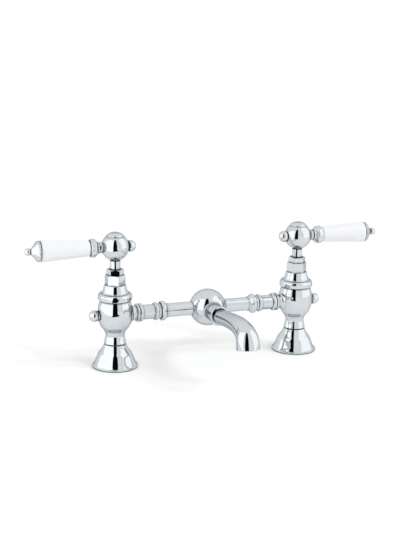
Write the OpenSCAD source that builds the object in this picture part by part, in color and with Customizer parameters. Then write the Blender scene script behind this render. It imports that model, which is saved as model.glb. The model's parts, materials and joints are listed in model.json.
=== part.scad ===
// Bridge basin mixer: two pillars on the deck, a tube between them and a spout in the middle.
// The origin is on the deck, midway between the two tap holes. +Z is up, the hot side is
// at -X and the spout runs to -Y. Each pillar's pieces are drawn on its own upright axis.

/* [Layout] */
// Distance between the centres of the two tap holes
hole_spacing = 200; // [180:1:230]
// Distance of the spout's outlet in front of the tap holes
spout_reach = 113.5; // [108:0.5:150]
// Rise of the spout above the bridge
spout_rise = 5.2; // [3.5:0.1:8]
// Drop of the outlet below the bridge
outlet_drop = 11.3; // [10:0.1:16]
// Lean of the outlet: its front edge is higher than its back edge
outlet_tilt = 10; // [5:0.5:14]
// Thickness of the deck that the tap is clamped to
deck_t = 16; // [10:1:20]

/* [Pillar] */
// Radius of the bell at the deck
bell_r = 23.5; // [22.5:0.1:26]
// Height of the bell
bell_h = 24; // [22:0.5:28]
// Radius of the body's foot on the bell
foot_r = 11.7; // [11.5:0.1:12.5]
// Radius of the body's waist
waist_r = 9.7; // [9.2:0.05:10.2]
// Largest radius of the body
bowl_r = 17.9; // [17:0.1:19]
// Radius of the body's rim
rim_r = 15; // [14.5:0.1:15.5]
// Height of the bridge above the body's foot
body_lower_h = 30.6; // [29.5:0.1:34]
// Height of the body above the bridge
body_upper_h = 16; // [15.5:0.1:18.5]
// Height of the ring on the body
collar_h = 7; // [5.5:0.1:8]
// Radius of the ring on the body
collar_r = 17.5; // [17:0.1:19]

/* [Valve head] */
// Height of the bonnet's skirt below its hexagon
skirt_h = 8.4; // [8:0.1:10]
// Radius of the skirt's foot
skirt_r = 14; // [13.8:0.1:14.4]
// Height of the bonnet's hexagon
bonnet_hex_h = 10.7; // [10:0.1:13]
// Width across the flats of the bonnet's hexagon
bonnet_flats = 18.5; // [18:0.1:19.5]
// Turn of the hot bonnet's hexagon
hot_bonnet_turn = 25.7; // [0:0.1:60]
// Turn of the cold bonnet's hexagon
cold_bonnet_turn = 12.7; // [0:0.1:60]
// Height of the gland nut's hexagon
gland_hex_h = 5.6; // [5:0.1:8]
// Width across the flats of the gland nut
gland_flats = 16; // [15:0.1:17]
// Turn of the hot gland nut
hot_gland_turn = 15.7; // [0:0.1:60]
// Turn of the cold gland nut
cold_gland_turn = 8.6; // [0:0.1:60]
// Radius of the spindle
spindle_r = 4; // [3.8:0.05:4.2]
// Radius of the two ceramic discs
disc_r = 7; // [6.8:0.05:7.2]
// Thickness of each ceramic disc
disc_t = 2.5; // [2.2:0.1:2.8]
// Length of the neck below the lever's ball
neck_h = 9.15; // [8.6:0.05:12]
// Radius of the neck below the lever's ball
neck_r = 5.4; // [5:0.1:5.6]

/* [Lever] */
// Radius of the ball that carries the lever
hub_r = 14.2; // [13.6:0.05:15]
// Distance from the pillar's axis to the inner end of the grip
grip_start = 24; // [23.5:0.1:27]
// Length of the ceramic grip
grip_len = 51.8; // [44:0.1:60]
// Radius of the grip at its outer end
grip_r = 11.45; // [10.8:0.05:12]
// Radius of the grip where it leaves its collar
grip_root_r = 8.4; // [8.2:0.1:8.8]
// Radius of the grip's metal collar
ferrule_r = 9.25; // [8.8:0.05:10]
// Radius of the rod through the grip
rod_r = 3; // [2.5:0.1:3.2]
// Radius of the disc at the grip's outer end
end_disc_r = 10.6; // [9.8:0.1:11]
// Length of the end cap with its tip
end_cap_len = 15.5; // [14.5:0.1:18]
// Radius of the ball at the lever's tip
tip_r = 3.7; // [3.4:0.1:4.1]
// Radius of the balls on the pillars and the hubs
finial_r = 5.95; // [5.6:0.05:6.3]

/* [Bridge and spout] */
// Radius of the tubes next to the ball
tube_r = 7.15; // [6.8:0.05:7.2]
// Radius of the tubes next to the pillars
sleeve_r = 7.6; // [7.4:0.05:7.7]
// Radius of the union nuts
union_r = 9.45; // [9.3:0.05:10.2]
// Radius of the gland nuts on the tubes
arm_nut_r = 10.15; // [9.9:0.05:11]
// Radius of the ring at the end of each sleeve
sleeve_ring_r = 9.3; // [9:0.05:10]
// Radius of the ball between the tubes
ball_r = 19.3; // [18:0.1:21]
// Radius of the neck that holds the spout
spout_neck_r = 9.5; // [9:0.05:10.5]
// Radius of the ring between the neck and the spout
spout_ring_r = 10.3; // [10:0.05:11.5]
// Radius of the spout at its root
spout_root_r = 7.9; // [7.7:0.05:8.3]
// Radius of the spout at its outlet
spout_end_r = 11.5; // [11.2:0.05:12.2]

/* [Deck fixing] */
// Radius of the threaded tails
tail_r = 10.4775; // [10.4:0.0025:10.55]
// Length of the tails below the deck
tail_len = 50; // [46:1:70]
// Radius of the clamp washers under the deck
washer_r = 18; // [16:0.5:20]
// Width across the flats of the backnuts
backnut_flats = 28; // [26:0.5:32]

/* [Hidden] */
$fn = 72;

// Colours of the finishes
chrome = [0.80, 0.81, 0.83];
brass = [0.80, 0.66, 0.36];
rubber = [0.10, 0.10, 0.11];
porcelain = [0.95, 0.95, 0.93];
nylon = [0.86, 0.86, 0.84];

// Clearances
fit_gap = 0.05;
turn_gap = 0.15;
film = 0.02;
past = 1;

// Heights up each pillar
z_foot = bell_h;
z_bridge = z_foot + body_lower_h;
z_rim = z_bridge + body_upper_h;
z_collar = z_rim + collar_h;
z_hex = z_collar + skirt_h;
z_gland = z_hex + bonnet_hex_h;
z_neck = z_gland + gland_hex_h + turn_gap;
z_hub_seat = z_neck + neck_h;
hub_seat_r = 4.7;
z_lever = z_hub_seat + sqrt(hub_r * hub_r - hub_seat_r * hub_seat_r);

// Bell and gasket
gasket_t = 2;
gasket_r = bell_r - 2.7;
gasket_in = 14;
bell_cavity_r = bell_r - 7.5;
tail_clear = 0.15;
bell_top_r = foot_r - 0.1;

// Tail: a spigot in the body's foot, the clamped length, a relief and the free thread
spigot_r = 8;
spigot_h = 6;
tail_bore_r = 6.5;
relief_r = 9.6;
relief_h = 1.5;
free_len = 16;
washer_t = 3;
backnut_h = 6;

// Valve chamber in the body
way_r = 5.2;
chamber_r = disc_r + 2.5;
counter_r = chamber_r + 1.5;
z_seat = z_bridge - 8.6;
seal_t = 2;
z_disc = z_seat + seal_t;
z_moving = z_disc + disc_t + film;
z_cup = z_moving + disc_t;
z_drum = z_bridge + 6.9;
drum_h = 3.3;
z_shoulder = z_drum + drum_h + 0.2;
z_counter = z_shoulder - 1;
flange_h = 2;
z_clamp = z_counter + flange_h;
valve_neck_r = 7;
valve_neck_h = 6;
window_w = 6;
window_sill = 0.6;
oring_h = 1.6;
spindle_bore_r = spindle_r + fit_gap;
port_r = 5;
disc_port_r = disc_r * 0.26;
blade_t = 3;
blade_w = 10;
slot_depth = 1.2;

// Bonnet
bonnet_thread_r = counter_r - fit_gap;
bonnet_bore_r = 9;
bonnet_wall_z = z_hex - 2;
bonnet_hex_root = 3;
gland_thread_r = 6.5;
gland_pocket_h = 4.7;
gland_ring_h = 1.5;

// Lever hub
drive_w = 5.6;
drive_h = 7;
z_drive = z_hub_seat + 0.6;
screw_r = 1.9;
screw_head_r = 3.6;
screw_head_h = 2.6;
z_screw = z_drive + drive_h + 0.4;
screw_grip_len = 7.6;
z_head = z_screw + screw_grip_len;
cap_spigot_r = 7;
cap_spigot_h = 3.7;
hub_top = 10.8;
cap_h = 3.8;
cap_top_r = 4.4;
lever_face_r = 5.7;
lever_seat = sqrt(hub_r * hub_r - lever_face_r * lever_face_r);
finial_flange_r = 5;
finial_face_r = finial_flange_r + 0.2;
finial_seat = sqrt(hub_r * hub_r - finial_face_r * finial_face_r);
rod_root = 5.8;
finial_spigot_r = 2.5;

// Grip and end cap
grip_end = grip_start + grip_len;
grip_spigot_r = 6.5;
grip_spigot_h = 2;
grip_washer_t = 0.4;
cap_start = grip_end + grip_washer_t;
rod_end = cap_start + 7;

// Finials: a flange, a groove and the ball
finial_neck_r = 4.2;
finial_groove = 0.7;
side_seat = bowl_r - 0.9;
side_flange_t = 1.3;
side_centre = bowl_r + 3.5;
hub_flange_t = 0.3;
hub_centre = hub_r + 1.5;

// Bridge, measured from the pillar's axis towards the middle
boss_end = bowl_r + 3.7;
boss_thread_r = 8.2;
boss_thread_len = 3.4;
union_washer_t = 1.2;
union_flange_t = 1.1;
union_len = 6.9;
union_inner = boss_end + boss_thread_len + union_washer_t + union_flange_t;
sleeve_start = boss_end + boss_thread_len + union_washer_t;
sleeve_plain_len = 19.3;
sleeve_ring = boss_end + sleeve_plain_len;
sleeve_ring_len = 3.8;
sleeve_thread_r = 8;
thread_shown = 3.3;
arm_nut_start = sleeve_ring + sleeve_ring_len + thread_shown;
arm_nut_len = 7.8;
sleeve_end = arm_nut_start + 3;
arm_oring_t = 1.5;
arm_wall = sleeve_end + arm_oring_t;
arm_bore_r = 5.9;
arm_way_r = 4.5;
slide_len = 17;
tube_seat = 13.5;
tube_end = hole_spacing / 2 - tube_seat;

// Ball and the spout's root, measured in front of the ball's centre
cavity_r = 11;
spout_neck_len = 14.7;
neck_end = ball_r + spout_neck_len;
ring_end = neck_end + 3.5;
spout_spigot_len = 10;
spout_socket = neck_end - spout_spigot_len;
spout_spigot_r = 7;
oring_at = neck_end - 6;
oring_w = 2;
oring_in = 5.9;
spout_way_r = 4.8;
shank_len = 1.6;

// Spout: stations as [share of the reach, height as a share of the rise or the drop]
spout_sides = 32;
spout_steps = 4;
spout_line = [
    [0, 0], [0.255, 0.53], [0.553, 1], [0.785, 0.87], [0.924, 0.16], [0.978, -0.38], [1, -1]];
spout_wall = 1.6;
spout_past = 4.6;
outlet_bore_r = spout_end_r - spout_wall + 0.1;
outlet_bore_h = 5;
straightener_t = 2.5;

// Value at the share k between a and b
function mix(a, b, k) = a + (b - a) * k;

// Tangent of the curve through the points p at point i
function slope(p, i) =
    i == 0 ? p[1] - p[0]
    : i == len(p) - 1 ? p[i] - p[i - 1]
    : (p[i + 1] - p[i - 1]) / 2;

// Point at the share t of the stretch of the curve from point i to the next
function on_curve(p, i, t) =
    (2 * t * t * t - 3 * t * t + 1) * p[i]
    + (t * t * t - 2 * t * t + t) * slope(p, i)
    + (3 * t * t - 2 * t * t * t) * p[i + 1]
    + (t * t * t - t * t) * slope(p, i + 1);

// Smooth curve through the points p, with n steps in each stretch
function curve(p, n = 4) = concat(
    [for (i = [0 : len(p) - 2]) for (k = [0 : n - 1]) on_curve(p, i, k / n)],
    [p[len(p) - 1]]);

// Direction of the curve at its point i
function heading(c, i) =
    let (a = c[max(i - 1, 0)], b = c[min(i + 1, len(c) - 1)]) (b - a) / norm(b - a);

// Places on each pillar's axis: the hot side is -1 and the cold side 1
module at_pillar(side) {
    translate([side * hole_spacing / 2, 0, 0]) children();
}

// Both pillars
module at_pillars() {
    for (side = [-1, 1]) at_pillar(side) children();
}

// Turns a piece drawn along +Z to lie outward from the pillar, at height z
module outward(side, z) {
    translate([0, 0, z]) rotate([0, side * 90, 0]) children();
}

// Ring with a round bore
module ring(r, bore, z, h) {
    translate([0, 0, z]) difference() {
        cylinder(r = r, h = h);
        translate([0, 0, -past]) cylinder(r = bore, h = h + 2 * past);
    }
}

// Round post from z upward, to add or to cut away
module post(r, z, h) {
    translate([0, 0, z]) cylinder(r = r, h = h);
}

// Hexagonal prism with its corners turned off at the top, and at the bottom if wanted
module hexagon(flats, h, turn, bottom = false) {
    corner = flats / sqrt(3);
    cut = corner - flats / 2 + 0.2;
    rise = cut * 0.6;
    rotate([0, 0, -turn]) intersection() {
        cylinder(r = corner, h = h, $fn = 6);
        rotate_extrude() polygon([
            [0, 0],
            [bottom ? corner - cut : corner + past, 0],
            [corner + past, bottom ? rise * (past + cut) / cut : 0],
            [corner + past, h - rise * (past + cut) / cut],
            [corner - cut, h],
            [0, h]]);
    }
}

// Tube that follows the spout's line, with outer and inner walls
module swept_tube(line, radii, wall) {
    n = len(line);
    m = spout_sides;
    outer = [for (i = [0 : n - 1]) for (j = [0 : m - 1]) ring_point(line, i, radii[i], j)];
    inner = [for (i = [0 : n - 1]) for (j = [0 : m - 1]) ring_point(line, i, radii[i] - wall, j)];
    skin = [for (i = [0 : n - 2]) for (j = [0 : m - 1])
        [i * m + j, i * m + (j + 1) % m, (i + 1) * m + (j + 1) % m, (i + 1) * m + j]];
    lining = [for (f = skin) [for (k = [3 : -1 : 0]) f[k] + n * m]];
    near_end = [for (j = [0 : m - 1]) [j, j + n * m, (j + 1) % m + n * m, (j + 1) % m]];
    far_end = [for (f = near_end) [for (k = [3 : -1 : 0]) f[k] + (n - 1) * m]];
    polyhedron(concat(outer, inner), concat(skin, lining, near_end, far_end));
}

// Corner j of the ring of radius r round station i of a line in the plane x = 0
function ring_point(line, i, r, j) =
    let (d = heading(line, i), a = 360 * j / spout_sides)
    [r * cos(a), line[i][0] - r * sin(a) * d[1], line[i][1] + r * sin(a) * d[0]];

// Bell: its outline from the deck to the groove under the body
module base_bell(side) {
    outline = concat(
        [[0, 0], [bell_r, 0], [bell_r, bell_h * 0.07]],
        curve([
            [bell_r - 1.3, bell_h * 0.105],
            [bell_r - 2.6, bell_h * 0.21],
            [bell_r - 4.2, bell_h * 0.375],
            [mix(bell_r, bell_top_r, 0.53), bell_h * 0.583],
            [mix(bell_r, bell_top_r, 0.74), bell_h * 0.72],
            [bell_top_r + 0.9, bell_h * 0.87],
            [bell_top_r + 0.1, bell_h * 0.955]]),
        [[bell_top_r - 0.5, bell_h], [0, bell_h]]);
    color(chrome) at_pillar(side) difference() {
        rotate_extrude() polygon(outline);
        rotate_extrude() polygon([
            [0, -past],
            [gasket_r + fit_gap, -past],
            [gasket_r + fit_gap, gasket_t],
            [bell_cavity_r, gasket_t],
            [bell_cavity_r, bell_h * 0.25],
            [bell_cavity_r - 1.8, bell_h * 0.58],
            [tail_r + tail_clear, bell_h * 0.8],
            [tail_r + tail_clear, bell_h + past],
            [0, bell_h + past]]);
    }
}

// Body: foot, waist, bowl and rim, with the valve chamber inside and the boss to the bridge
module pillar_body(side) {
    outline = concat(
        [[0, z_foot], [foot_r - 0.5, z_foot], [foot_r, z_foot + 0.5]],
        curve([
            [mix(foot_r, waist_r, 0.16), z_foot + body_lower_h * 0.04],
            [mix(foot_r, waist_r, 0.61), z_foot + body_lower_h * 0.18],
            [waist_r, z_foot + body_lower_h * 0.294],
            [mix(waist_r, bowl_r, 0.042), z_foot + body_lower_h * 0.353],
            [mix(waist_r, bowl_r, 0.188), z_foot + body_lower_h * 0.4575],
            [mix(waist_r, bowl_r, 0.382), z_foot + body_lower_h * 0.526],
            [mix(waist_r, bowl_r, 0.66), z_foot + body_lower_h * 0.631],
            [mix(waist_r, bowl_r, 0.89), z_foot + body_lower_h * 0.784],
            [bowl_r, z_bridge],
            [mix(bowl_r, rim_r, 0.09), z_bridge + body_upper_h * 0.4],
            [mix(bowl_r, rim_r, 0.4), z_bridge + body_upper_h * 0.69],
            [mix(bowl_r, rim_r, 0.7), z_bridge + body_upper_h * 0.87],
            [rim_r, z_rim]]),
        [[0, z_rim]]);
    color(chrome) at_pillar(side) difference() {
        union() {
            rotate_extrude() polygon(outline);
            outward(-side, z_bridge) post(sleeve_r, chamber_r + 1, boss_end - chamber_r - 1);
            outward(-side, z_bridge) post(boss_thread_r, boss_end, boss_thread_len);
        }
        post(spigot_r + fit_gap, z_foot - past, spigot_h + fit_gap + past);
        post(way_r, z_foot, z_seat - z_foot + past);
        post(chamber_r, z_seat, z_rim);
        post(counter_r, z_counter, z_rim);
        outward(-side, z_bridge) post(port_r, 0, boss_end + boss_thread_len + past);
        outward(side, z_bridge) post(finial_face_r, side_seat, bowl_r);
        outward(side, z_bridge) post(finial_spigot_r, side_seat - 4, 4 + past);
    }
}

// Threaded tail that comes up through the deck and the bell into the body
module inlet_tail(side) {
    color(brass) at_pillar(side) difference() {
        union() {
            post(tail_r, -tail_len, free_len);
            post(relief_r, -tail_len + free_len, relief_h);
            post(tail_r, -tail_len + free_len + relief_h, z_foot + tail_len - free_len - relief_h);
            post(spigot_r, z_foot, spigot_h);
        }
        post(tail_bore_r, -tail_len - past, z_foot + tail_len + spigot_h + 2 * past);
    }
}

// Ring between the body's rim and the bonnet
module collar_ring(side) {
    color(chrome) at_pillar(side) difference() {
        rotate_extrude() polygon(concat(
            [[0, z_rim], [collar_r - 0.6, z_rim], [collar_r, z_rim + 0.6]],
            curve([
                [collar_r, z_rim + collar_h * 0.58],
                [collar_r - 0.5, z_rim + collar_h * 0.78],
                [collar_r - 1.6, z_rim + collar_h * 0.94],
                [collar_r - 3, z_collar]]),
            [[0, z_collar]]));
        post(counter_r + fit_gap, z_rim - past, collar_h + 2 * past);
    }
}

// Bonnet: a flared skirt with a shoulder under its hexagon
module bonnet(side, turn) {
    half = bonnet_flats / 2;
    color(chrome) at_pillar(side) difference() {
        union() {
            translate([0, 0, z_hex - bonnet_hex_root])
                hexagon(bonnet_flats, bonnet_hex_h + bonnet_hex_root, turn);
            rotate_extrude() polygon(concat(
                [[0, z_collar], [skirt_r, z_collar]],
                curve([
                    [skirt_r - 0.1, z_collar + skirt_h * 0.06],
                    [skirt_r - 0.8, z_collar + skirt_h * 0.14],
                    [skirt_r - 1.3, z_collar + skirt_h * 0.32],
                    [skirt_r - 1.85, z_collar + skirt_h * 0.5],
                    [skirt_r - 2.25, z_collar + skirt_h * 0.69],
                    [half + 2.15, z_collar + skirt_h * 0.87],
                    [half + 1.9, z_hex - 0.1],
                    [half + 1.5, z_hex + 0.2],
                    [half + 0.7, z_hex + 0.45],
                    [half - 0.1, z_hex + 0.6]], 3),
                [[0, z_hex + 0.6]]));
            post(bonnet_thread_r, z_clamp, z_collar - z_clamp + past);
        }
        post(bonnet_bore_r, z_clamp - past, bonnet_wall_z - z_clamp + past);
        post(spindle_bore_r + fit_gap, bonnet_wall_z - past, z_gland - bonnet_wall_z + 2 * past);
        post(gland_thread_r, z_gland - gland_pocket_h, gland_pocket_h + past);
    }
}

// Gland nut: it holds its seal down on the bonnet and guides the spindle
module gland_nut(side, turn) {
    color(chrome) at_pillar(side) difference() {
        union() {
            translate([0, 0, z_gland]) hexagon(gland_flats, gland_hex_h, turn);
            post(gland_thread_r - fit_gap, z_gland - gland_pocket_h + gland_ring_h,
                gland_pocket_h - gland_ring_h);
        }
        post(spindle_bore_r, z_gland - gland_pocket_h, gland_pocket_h + gland_hex_h + past);
    }
}

// Valve body: a cup for the two discs with four windows above them, and a clamped flange
module valve_body(side) {
    window_h = z_drum - z_cup - window_sill - 0.8;
    color(brass) at_pillar(side) difference() {
        union() {
            post(chamber_r - fit_gap, z_disc - 1, z_clamp - z_disc + 1);
            post(counter_r - 2 * fit_gap, z_counter, flange_h);
            post(valve_neck_r, z_clamp, valve_neck_h);
        }
        ring(chamber_r + past, chamber_r - 1.1, z_cup + window_sill, window_h);
        post(disc_r + fit_gap, z_disc, z_shoulder - z_disc);
        post(disc_r - 1, z_disc - 2, 3);
        post(spindle_bore_r + fit_gap, z_shoulder - past, z_clamp + valve_neck_h + 2 * past - z_shoulder);
        for (k = [0 : 1]) rotate([0, 0, 90 * k + 45])
            translate([-chamber_r - past, -window_w / 2, z_cup + window_sill])
                cube([2 * (chamber_r + past), window_w, window_h]);
        ring(chamber_r + past, chamber_r - oring_h * 0.8, z_drum + 0.9, oring_h);
    }
}

// Fixed ceramic disc with its two ports
module fixed_disc(side) {
    color(porcelain) at_pillar(side) difference() {
        post(disc_r, z_disc, disc_t);
        for (s = [-1, 1]) translate([s * disc_r / 2, 0, 0])
            post(disc_port_r, z_disc - past, disc_t + 2 * past);
    }
}

// Turning ceramic disc: a quarter turn from its ports to the fixed disc's
module moving_disc(side) {
    color(porcelain) at_pillar(side) difference() {
        post(disc_r - fit_gap, z_moving, disc_t);
        for (s = [-1, 1]) translate([0, s * disc_r / 2, 0])
            post(disc_port_r, z_moving - past, disc_t + 2 * past);
        translate([-blade_w / 2 - fit_gap, -blade_t / 2 - fit_gap, z_cup - slot_depth])
            cube([blade_w + 2 * fit_gap, blade_t + 2 * fit_gap, slot_depth + past]);
    }
}

// Spindle: a blade in the moving disc, a drum under the shoulder, the shaft and a square end
module spindle(side) {
    color(brass) at_pillar(side) difference() {
        union() {
            translate([-blade_w / 2, -blade_t / 2, z_cup - slot_depth])
                cube([blade_w, blade_t, z_drum - z_cup + slot_depth]);
            post(disc_r - fit_gap, z_drum, drum_h);
            post(spindle_r, z_drum, z_drive - z_drum);
            translate([-drive_w / 2, -drive_w / 2, z_drive]) cube([drive_w, drive_w, drive_h]);
        }
        post(screw_r, z_drive - 3, drive_h + 3 + past);
    }
}

// Neck that turns with the lever over the gland nut
module hub_neck(side) {
    color(chrome) at_pillar(side) difference() {
        rotate_extrude() polygon([
            [0, z_neck],
            [neck_r, z_neck],
            [neck_r, z_hub_seat - 0.7],
            [hub_seat_r, z_hub_seat],
            [0, z_hub_seat]]);
        post(spindle_bore_r, z_neck - past, neck_h + 2 * past);
    }
}

// Ball that carries the lever, the finial and the cap
module lever_hub(side) {
    color(chrome) at_pillar(side) difference() {
        translate([0, 0, z_lever]) sphere(r = hub_r);
        post(hub_r, z_hub_seat - hub_r, hub_r);
        post(hub_r, z_lever + hub_top, hub_r);
        outward(side, z_lever) post(hub_r, lever_seat, hub_r);
        outward(-side, z_lever) post(hub_r, finial_seat, hub_r);
        post(spindle_bore_r, z_hub_seat - past, z_drive - z_hub_seat + past);
        translate([-drive_w / 2 - fit_gap, -drive_w / 2 - fit_gap, z_drive - past])
            cube([drive_w + 2 * fit_gap, drive_w + 2 * fit_gap, drive_h + past + 0.2]);
        post(screw_r + 0.3, z_drive, 2 * hub_r);
        post(screw_head_r + 0.4, z_head, hub_r);
        post(cap_spigot_r + fit_gap, z_lever + hub_top - cap_spigot_h, hub_r);
        outward(side, z_lever) post(rod_r + fit_gap, rod_root, hub_r);
        outward(-side, z_lever) post(finial_spigot_r, finial_seat - 5.4, hub_r);
    }
}

// Screw that pulls the hub down on the spindle
module hub_screw(side) {
    color(brass) at_pillar(side) difference() {
        union() {
            post(screw_r, z_drive - 1, z_head - z_drive + 1);
            post(screw_head_r, z_head, screw_head_h);
        }
        translate([0, 0, z_head + screw_head_h - 1.6]) cylinder(r = 1.75, h = 1.6 + past, $fn = 6);
    }
}

// Cap that closes the hub
module index_cap(side) {
    z_seam = z_lever + hub_top;
    seam_r = sqrt(hub_r * hub_r - hub_top * hub_top);
    color(chrome) at_pillar(side) union() {
        rotate_extrude() polygon(concat(
            [[0, z_seam], [seam_r - 0.2, z_seam]],
            curve([
                [mix(seam_r, cap_top_r, 0.03), z_seam + cap_h * 0.08],
                [mix(seam_r, cap_top_r, 0.13), z_seam + cap_h * 0.32],
                [mix(seam_r, cap_top_r, 0.41), z_seam + cap_h * 0.66],
                [mix(seam_r, cap_top_r, 0.75), z_seam + cap_h * 0.9],
                [cap_top_r, z_seam + cap_h]]),
            [[0, z_seam + cap_h]]));
        ring(cap_spigot_r, cap_spigot_r - 1.4, z_seam - cap_spigot_h + 0.3, cap_spigot_h - 0.3 + past);
    }
}

// Rod from the hub through the grip to the end cap
module lever_rod(side) {
    color(brass) at_pillar(side) outward(side, z_lever) post(rod_r, rod_root, rod_end - rod_root);
}

// Turned collar that seats the grip on the hub
module lever_collar(side) {
    color(chrome) at_pillar(side) outward(side, z_lever) difference() {
        rotate_extrude() polygon(concat(
            [[0, lever_seat], [5.2, lever_seat]],
            curve([[5.2, lever_seat + 0.4], [5.6, lever_seat + 2.2], [5.2, lever_seat + 3.8]]),
            [[6.2, lever_seat + 4.2], [6.2, grip_start - 5.7]],
            curve([
                [6.6, grip_start - 5.2],
                [ferrule_r - 1, grip_start - 3.9],
                [ferrule_r, grip_start - 2.6],
                [ferrule_r, grip_start + 1.2]]),
            [[ferrule_r - 0.4, grip_start + grip_spigot_h], [0, grip_start + grip_spigot_h]]));
        post(rod_r + fit_gap, lever_seat - past, grip_start);
        post(grip_spigot_r + fit_gap, grip_start - grip_washer_t, grip_start);
    }
}

// Ceramic grip: it swells from the collar to its outer end
module lever_grip(side) {
    start = grip_start + grip_spigot_h;
    color(porcelain) at_pillar(side) outward(side, z_lever) difference() {
        rotate_extrude() polygon(concat(
            [[0, grip_start], [grip_spigot_r, grip_start], [grip_spigot_r, start]],
            curve([
                [grip_spigot_r + 0.5, start],
                [grip_root_r - 0.6, start + 1.4],
                [grip_root_r, start + 3]]),
            [[mix(grip_root_r, grip_r, 0.96), grip_end - 3.5]],
            curve([
                [grip_r, grip_end - 1.8],
                [grip_r - 0.25, grip_end - 0.8],
                [grip_r - 0.8, grip_end - 0.2],
                [grip_r - 1.5, grip_end]]),
            [[0, grip_end]]));
        post(rod_r + 0.2, grip_start - past, grip_len + 2 * past);
    }
}

// Two thin washers that keep the ceramic off the metal
module grip_washers(side) {
    color(rubber) at_pillar(side) outward(side, z_lever) {
        ring(grip_spigot_r, rod_r + fit_gap, grip_start - grip_washer_t, grip_washer_t);
        ring(end_disc_r - 0.5, rod_r + fit_gap, grip_end, grip_washer_t);
    }
}

// End cap: a disc, a dome and a ball at the tip
module lever_end_cap(side) {
    ball = cap_start + end_cap_len - tip_r;
    low = ball - 2.7;
    dome = low - cap_start;
    neck = tip_r - 0.5;
    color(chrome) at_pillar(side) outward(side, z_lever) difference() {
        union() {
            rotate_extrude() polygon(concat(
                [
                    [0, cap_start],
                    [end_disc_r - 0.5, cap_start],
                    [end_disc_r, cap_start + 0.6],
                    [end_disc_r, cap_start + dome * 0.14],
                    [end_disc_r - 0.25, cap_start + dome * 0.175],
                    [end_disc_r, cap_start + dome * 0.21]],
                curve([
                    [end_disc_r, cap_start + dome * 0.264],
                    [mix(neck, end_disc_r, 0.932), cap_start + dome * 0.34],
                    [mix(neck, end_disc_r, 0.784), cap_start + dome * 0.46],
                    [mix(neck, end_disc_r, 0.514), cap_start + dome * 0.615],
                    [mix(neck, end_disc_r, 0.257), cap_start + dome * 0.79],
                    [neck, low]]),
                [[0, low]]));
            translate([0, 0, ball]) sphere(r = tip_r);
        }
        post(rod_r + fit_gap, cap_start - past, rod_end - cap_start + past);
    }
}

// Ball behind a groove and a flange, drawn along +Z from its seat
module finial(seat, flange_t, centre, spigot) {
    back = seat + flange_t + finial_groove;
    color(chrome) rotate_extrude() {
        difference() {
            translate([0, centre]) circle(r = finial_r);
            translate([-finial_r, centre - finial_r]) square([finial_r, 2 * finial_r]);
            translate([0, back - finial_r]) square([finial_r, finial_r]);
        }
        translate([0, seat]) square([finial_flange_r, flange_t]);
        translate([0, seat]) square([finial_neck_r, centre - seat]);
        translate([0, seat - spigot]) square([finial_spigot_r - fit_gap, spigot + past]);
    }
}

// Finial opposite the lever
module hub_finial(side) {
    at_pillar(side) outward(-side, z_lever) finial(finial_seat, hub_flange_t, hub_centre, 5);
}

// Finials on the outer sides of the two bodies
module side_finials() {
    for (side = [-1, 1]) at_pillar(side) outward(side, z_bridge)
        finial(side_seat, side_flange_t, side_centre, 3.7);
}

// Gaskets in the two bells
module base_gaskets() {
    color(rubber) at_pillars() ring(gasket_r, gasket_in, 0, gasket_t);
}

// Soft washers under the deck
module clamp_washers() {
    color(rubber) at_pillars() ring(washer_r, tail_r + 0.2, -deck_t - washer_t, washer_t);
}

// Hexagonal nuts that clamp the tails
module backnuts() {
    color(brass) at_pillars() difference() {
        translate([0, 0, -deck_t - washer_t - backnut_h]) hexagon(backnut_flats, backnut_h, 0, true);
        post(tail_r, -deck_t - washer_t - backnut_h - past, backnut_h + 2 * past);
    }
}

// Seals between the bodies' seats and the fixed discs
module seat_seals() {
    color(rubber) at_pillars() ring(disc_r - 1 - fit_gap, way_r, z_seat, seal_t);
}

// Seals round the valve bodies
module valve_orings() {
    color(rubber) at_pillars() ring(chamber_r, chamber_r - oring_h * 0.8, z_drum + 0.9, oring_h);
}

// Seals round the spindles, under the gland nuts
module gland_orings() {
    color(rubber) at_pillars()
        ring(gland_thread_r, spindle_bore_r, z_gland - gland_pocket_h, gland_ring_h);
}

// Union nuts with two rounded beads, on the bosses of the bodies
module union_nuts() {
    bead = union_len / 2;
    color(chrome) for (side = [-1, 1]) at_pillar(side) outward(-side, z_bridge) difference() {
        rotate_extrude() polygon(concat(
            [[0, boss_end]],
            curve([
                [union_r - 1.2, boss_end],
                [union_r - 0.2, boss_end + 0.5],
                [union_r, boss_end + bead * 0.42],
                [union_r - 0.2, boss_end + bead - 1],
                [union_r - 1, boss_end + bead - 0.55]]),
            curve([
                [union_r - 1, boss_end + bead - 0.45],
                [union_r - 0.2, boss_end + bead],
                [union_r, boss_end + bead * 1.5],
                [union_r - 0.3, boss_end + union_len - 0.7],
                [union_r - 1.4, boss_end + union_len]]),
            [[0, boss_end + union_len]]));
        post(boss_thread_r, boss_end - past, union_inner - boss_end + past);
        post(sleeve_r + fit_gap, boss_end, union_len + past);
    }
}

// Flat seals between the bosses and the sleeves
module union_washers() {
    color(rubber) for (side = [-1, 1]) at_pillar(side) outward(-side, z_bridge)
        ring(boss_thread_r - fit_gap, port_r, boss_end + boss_thread_len, union_washer_t);
}

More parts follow.
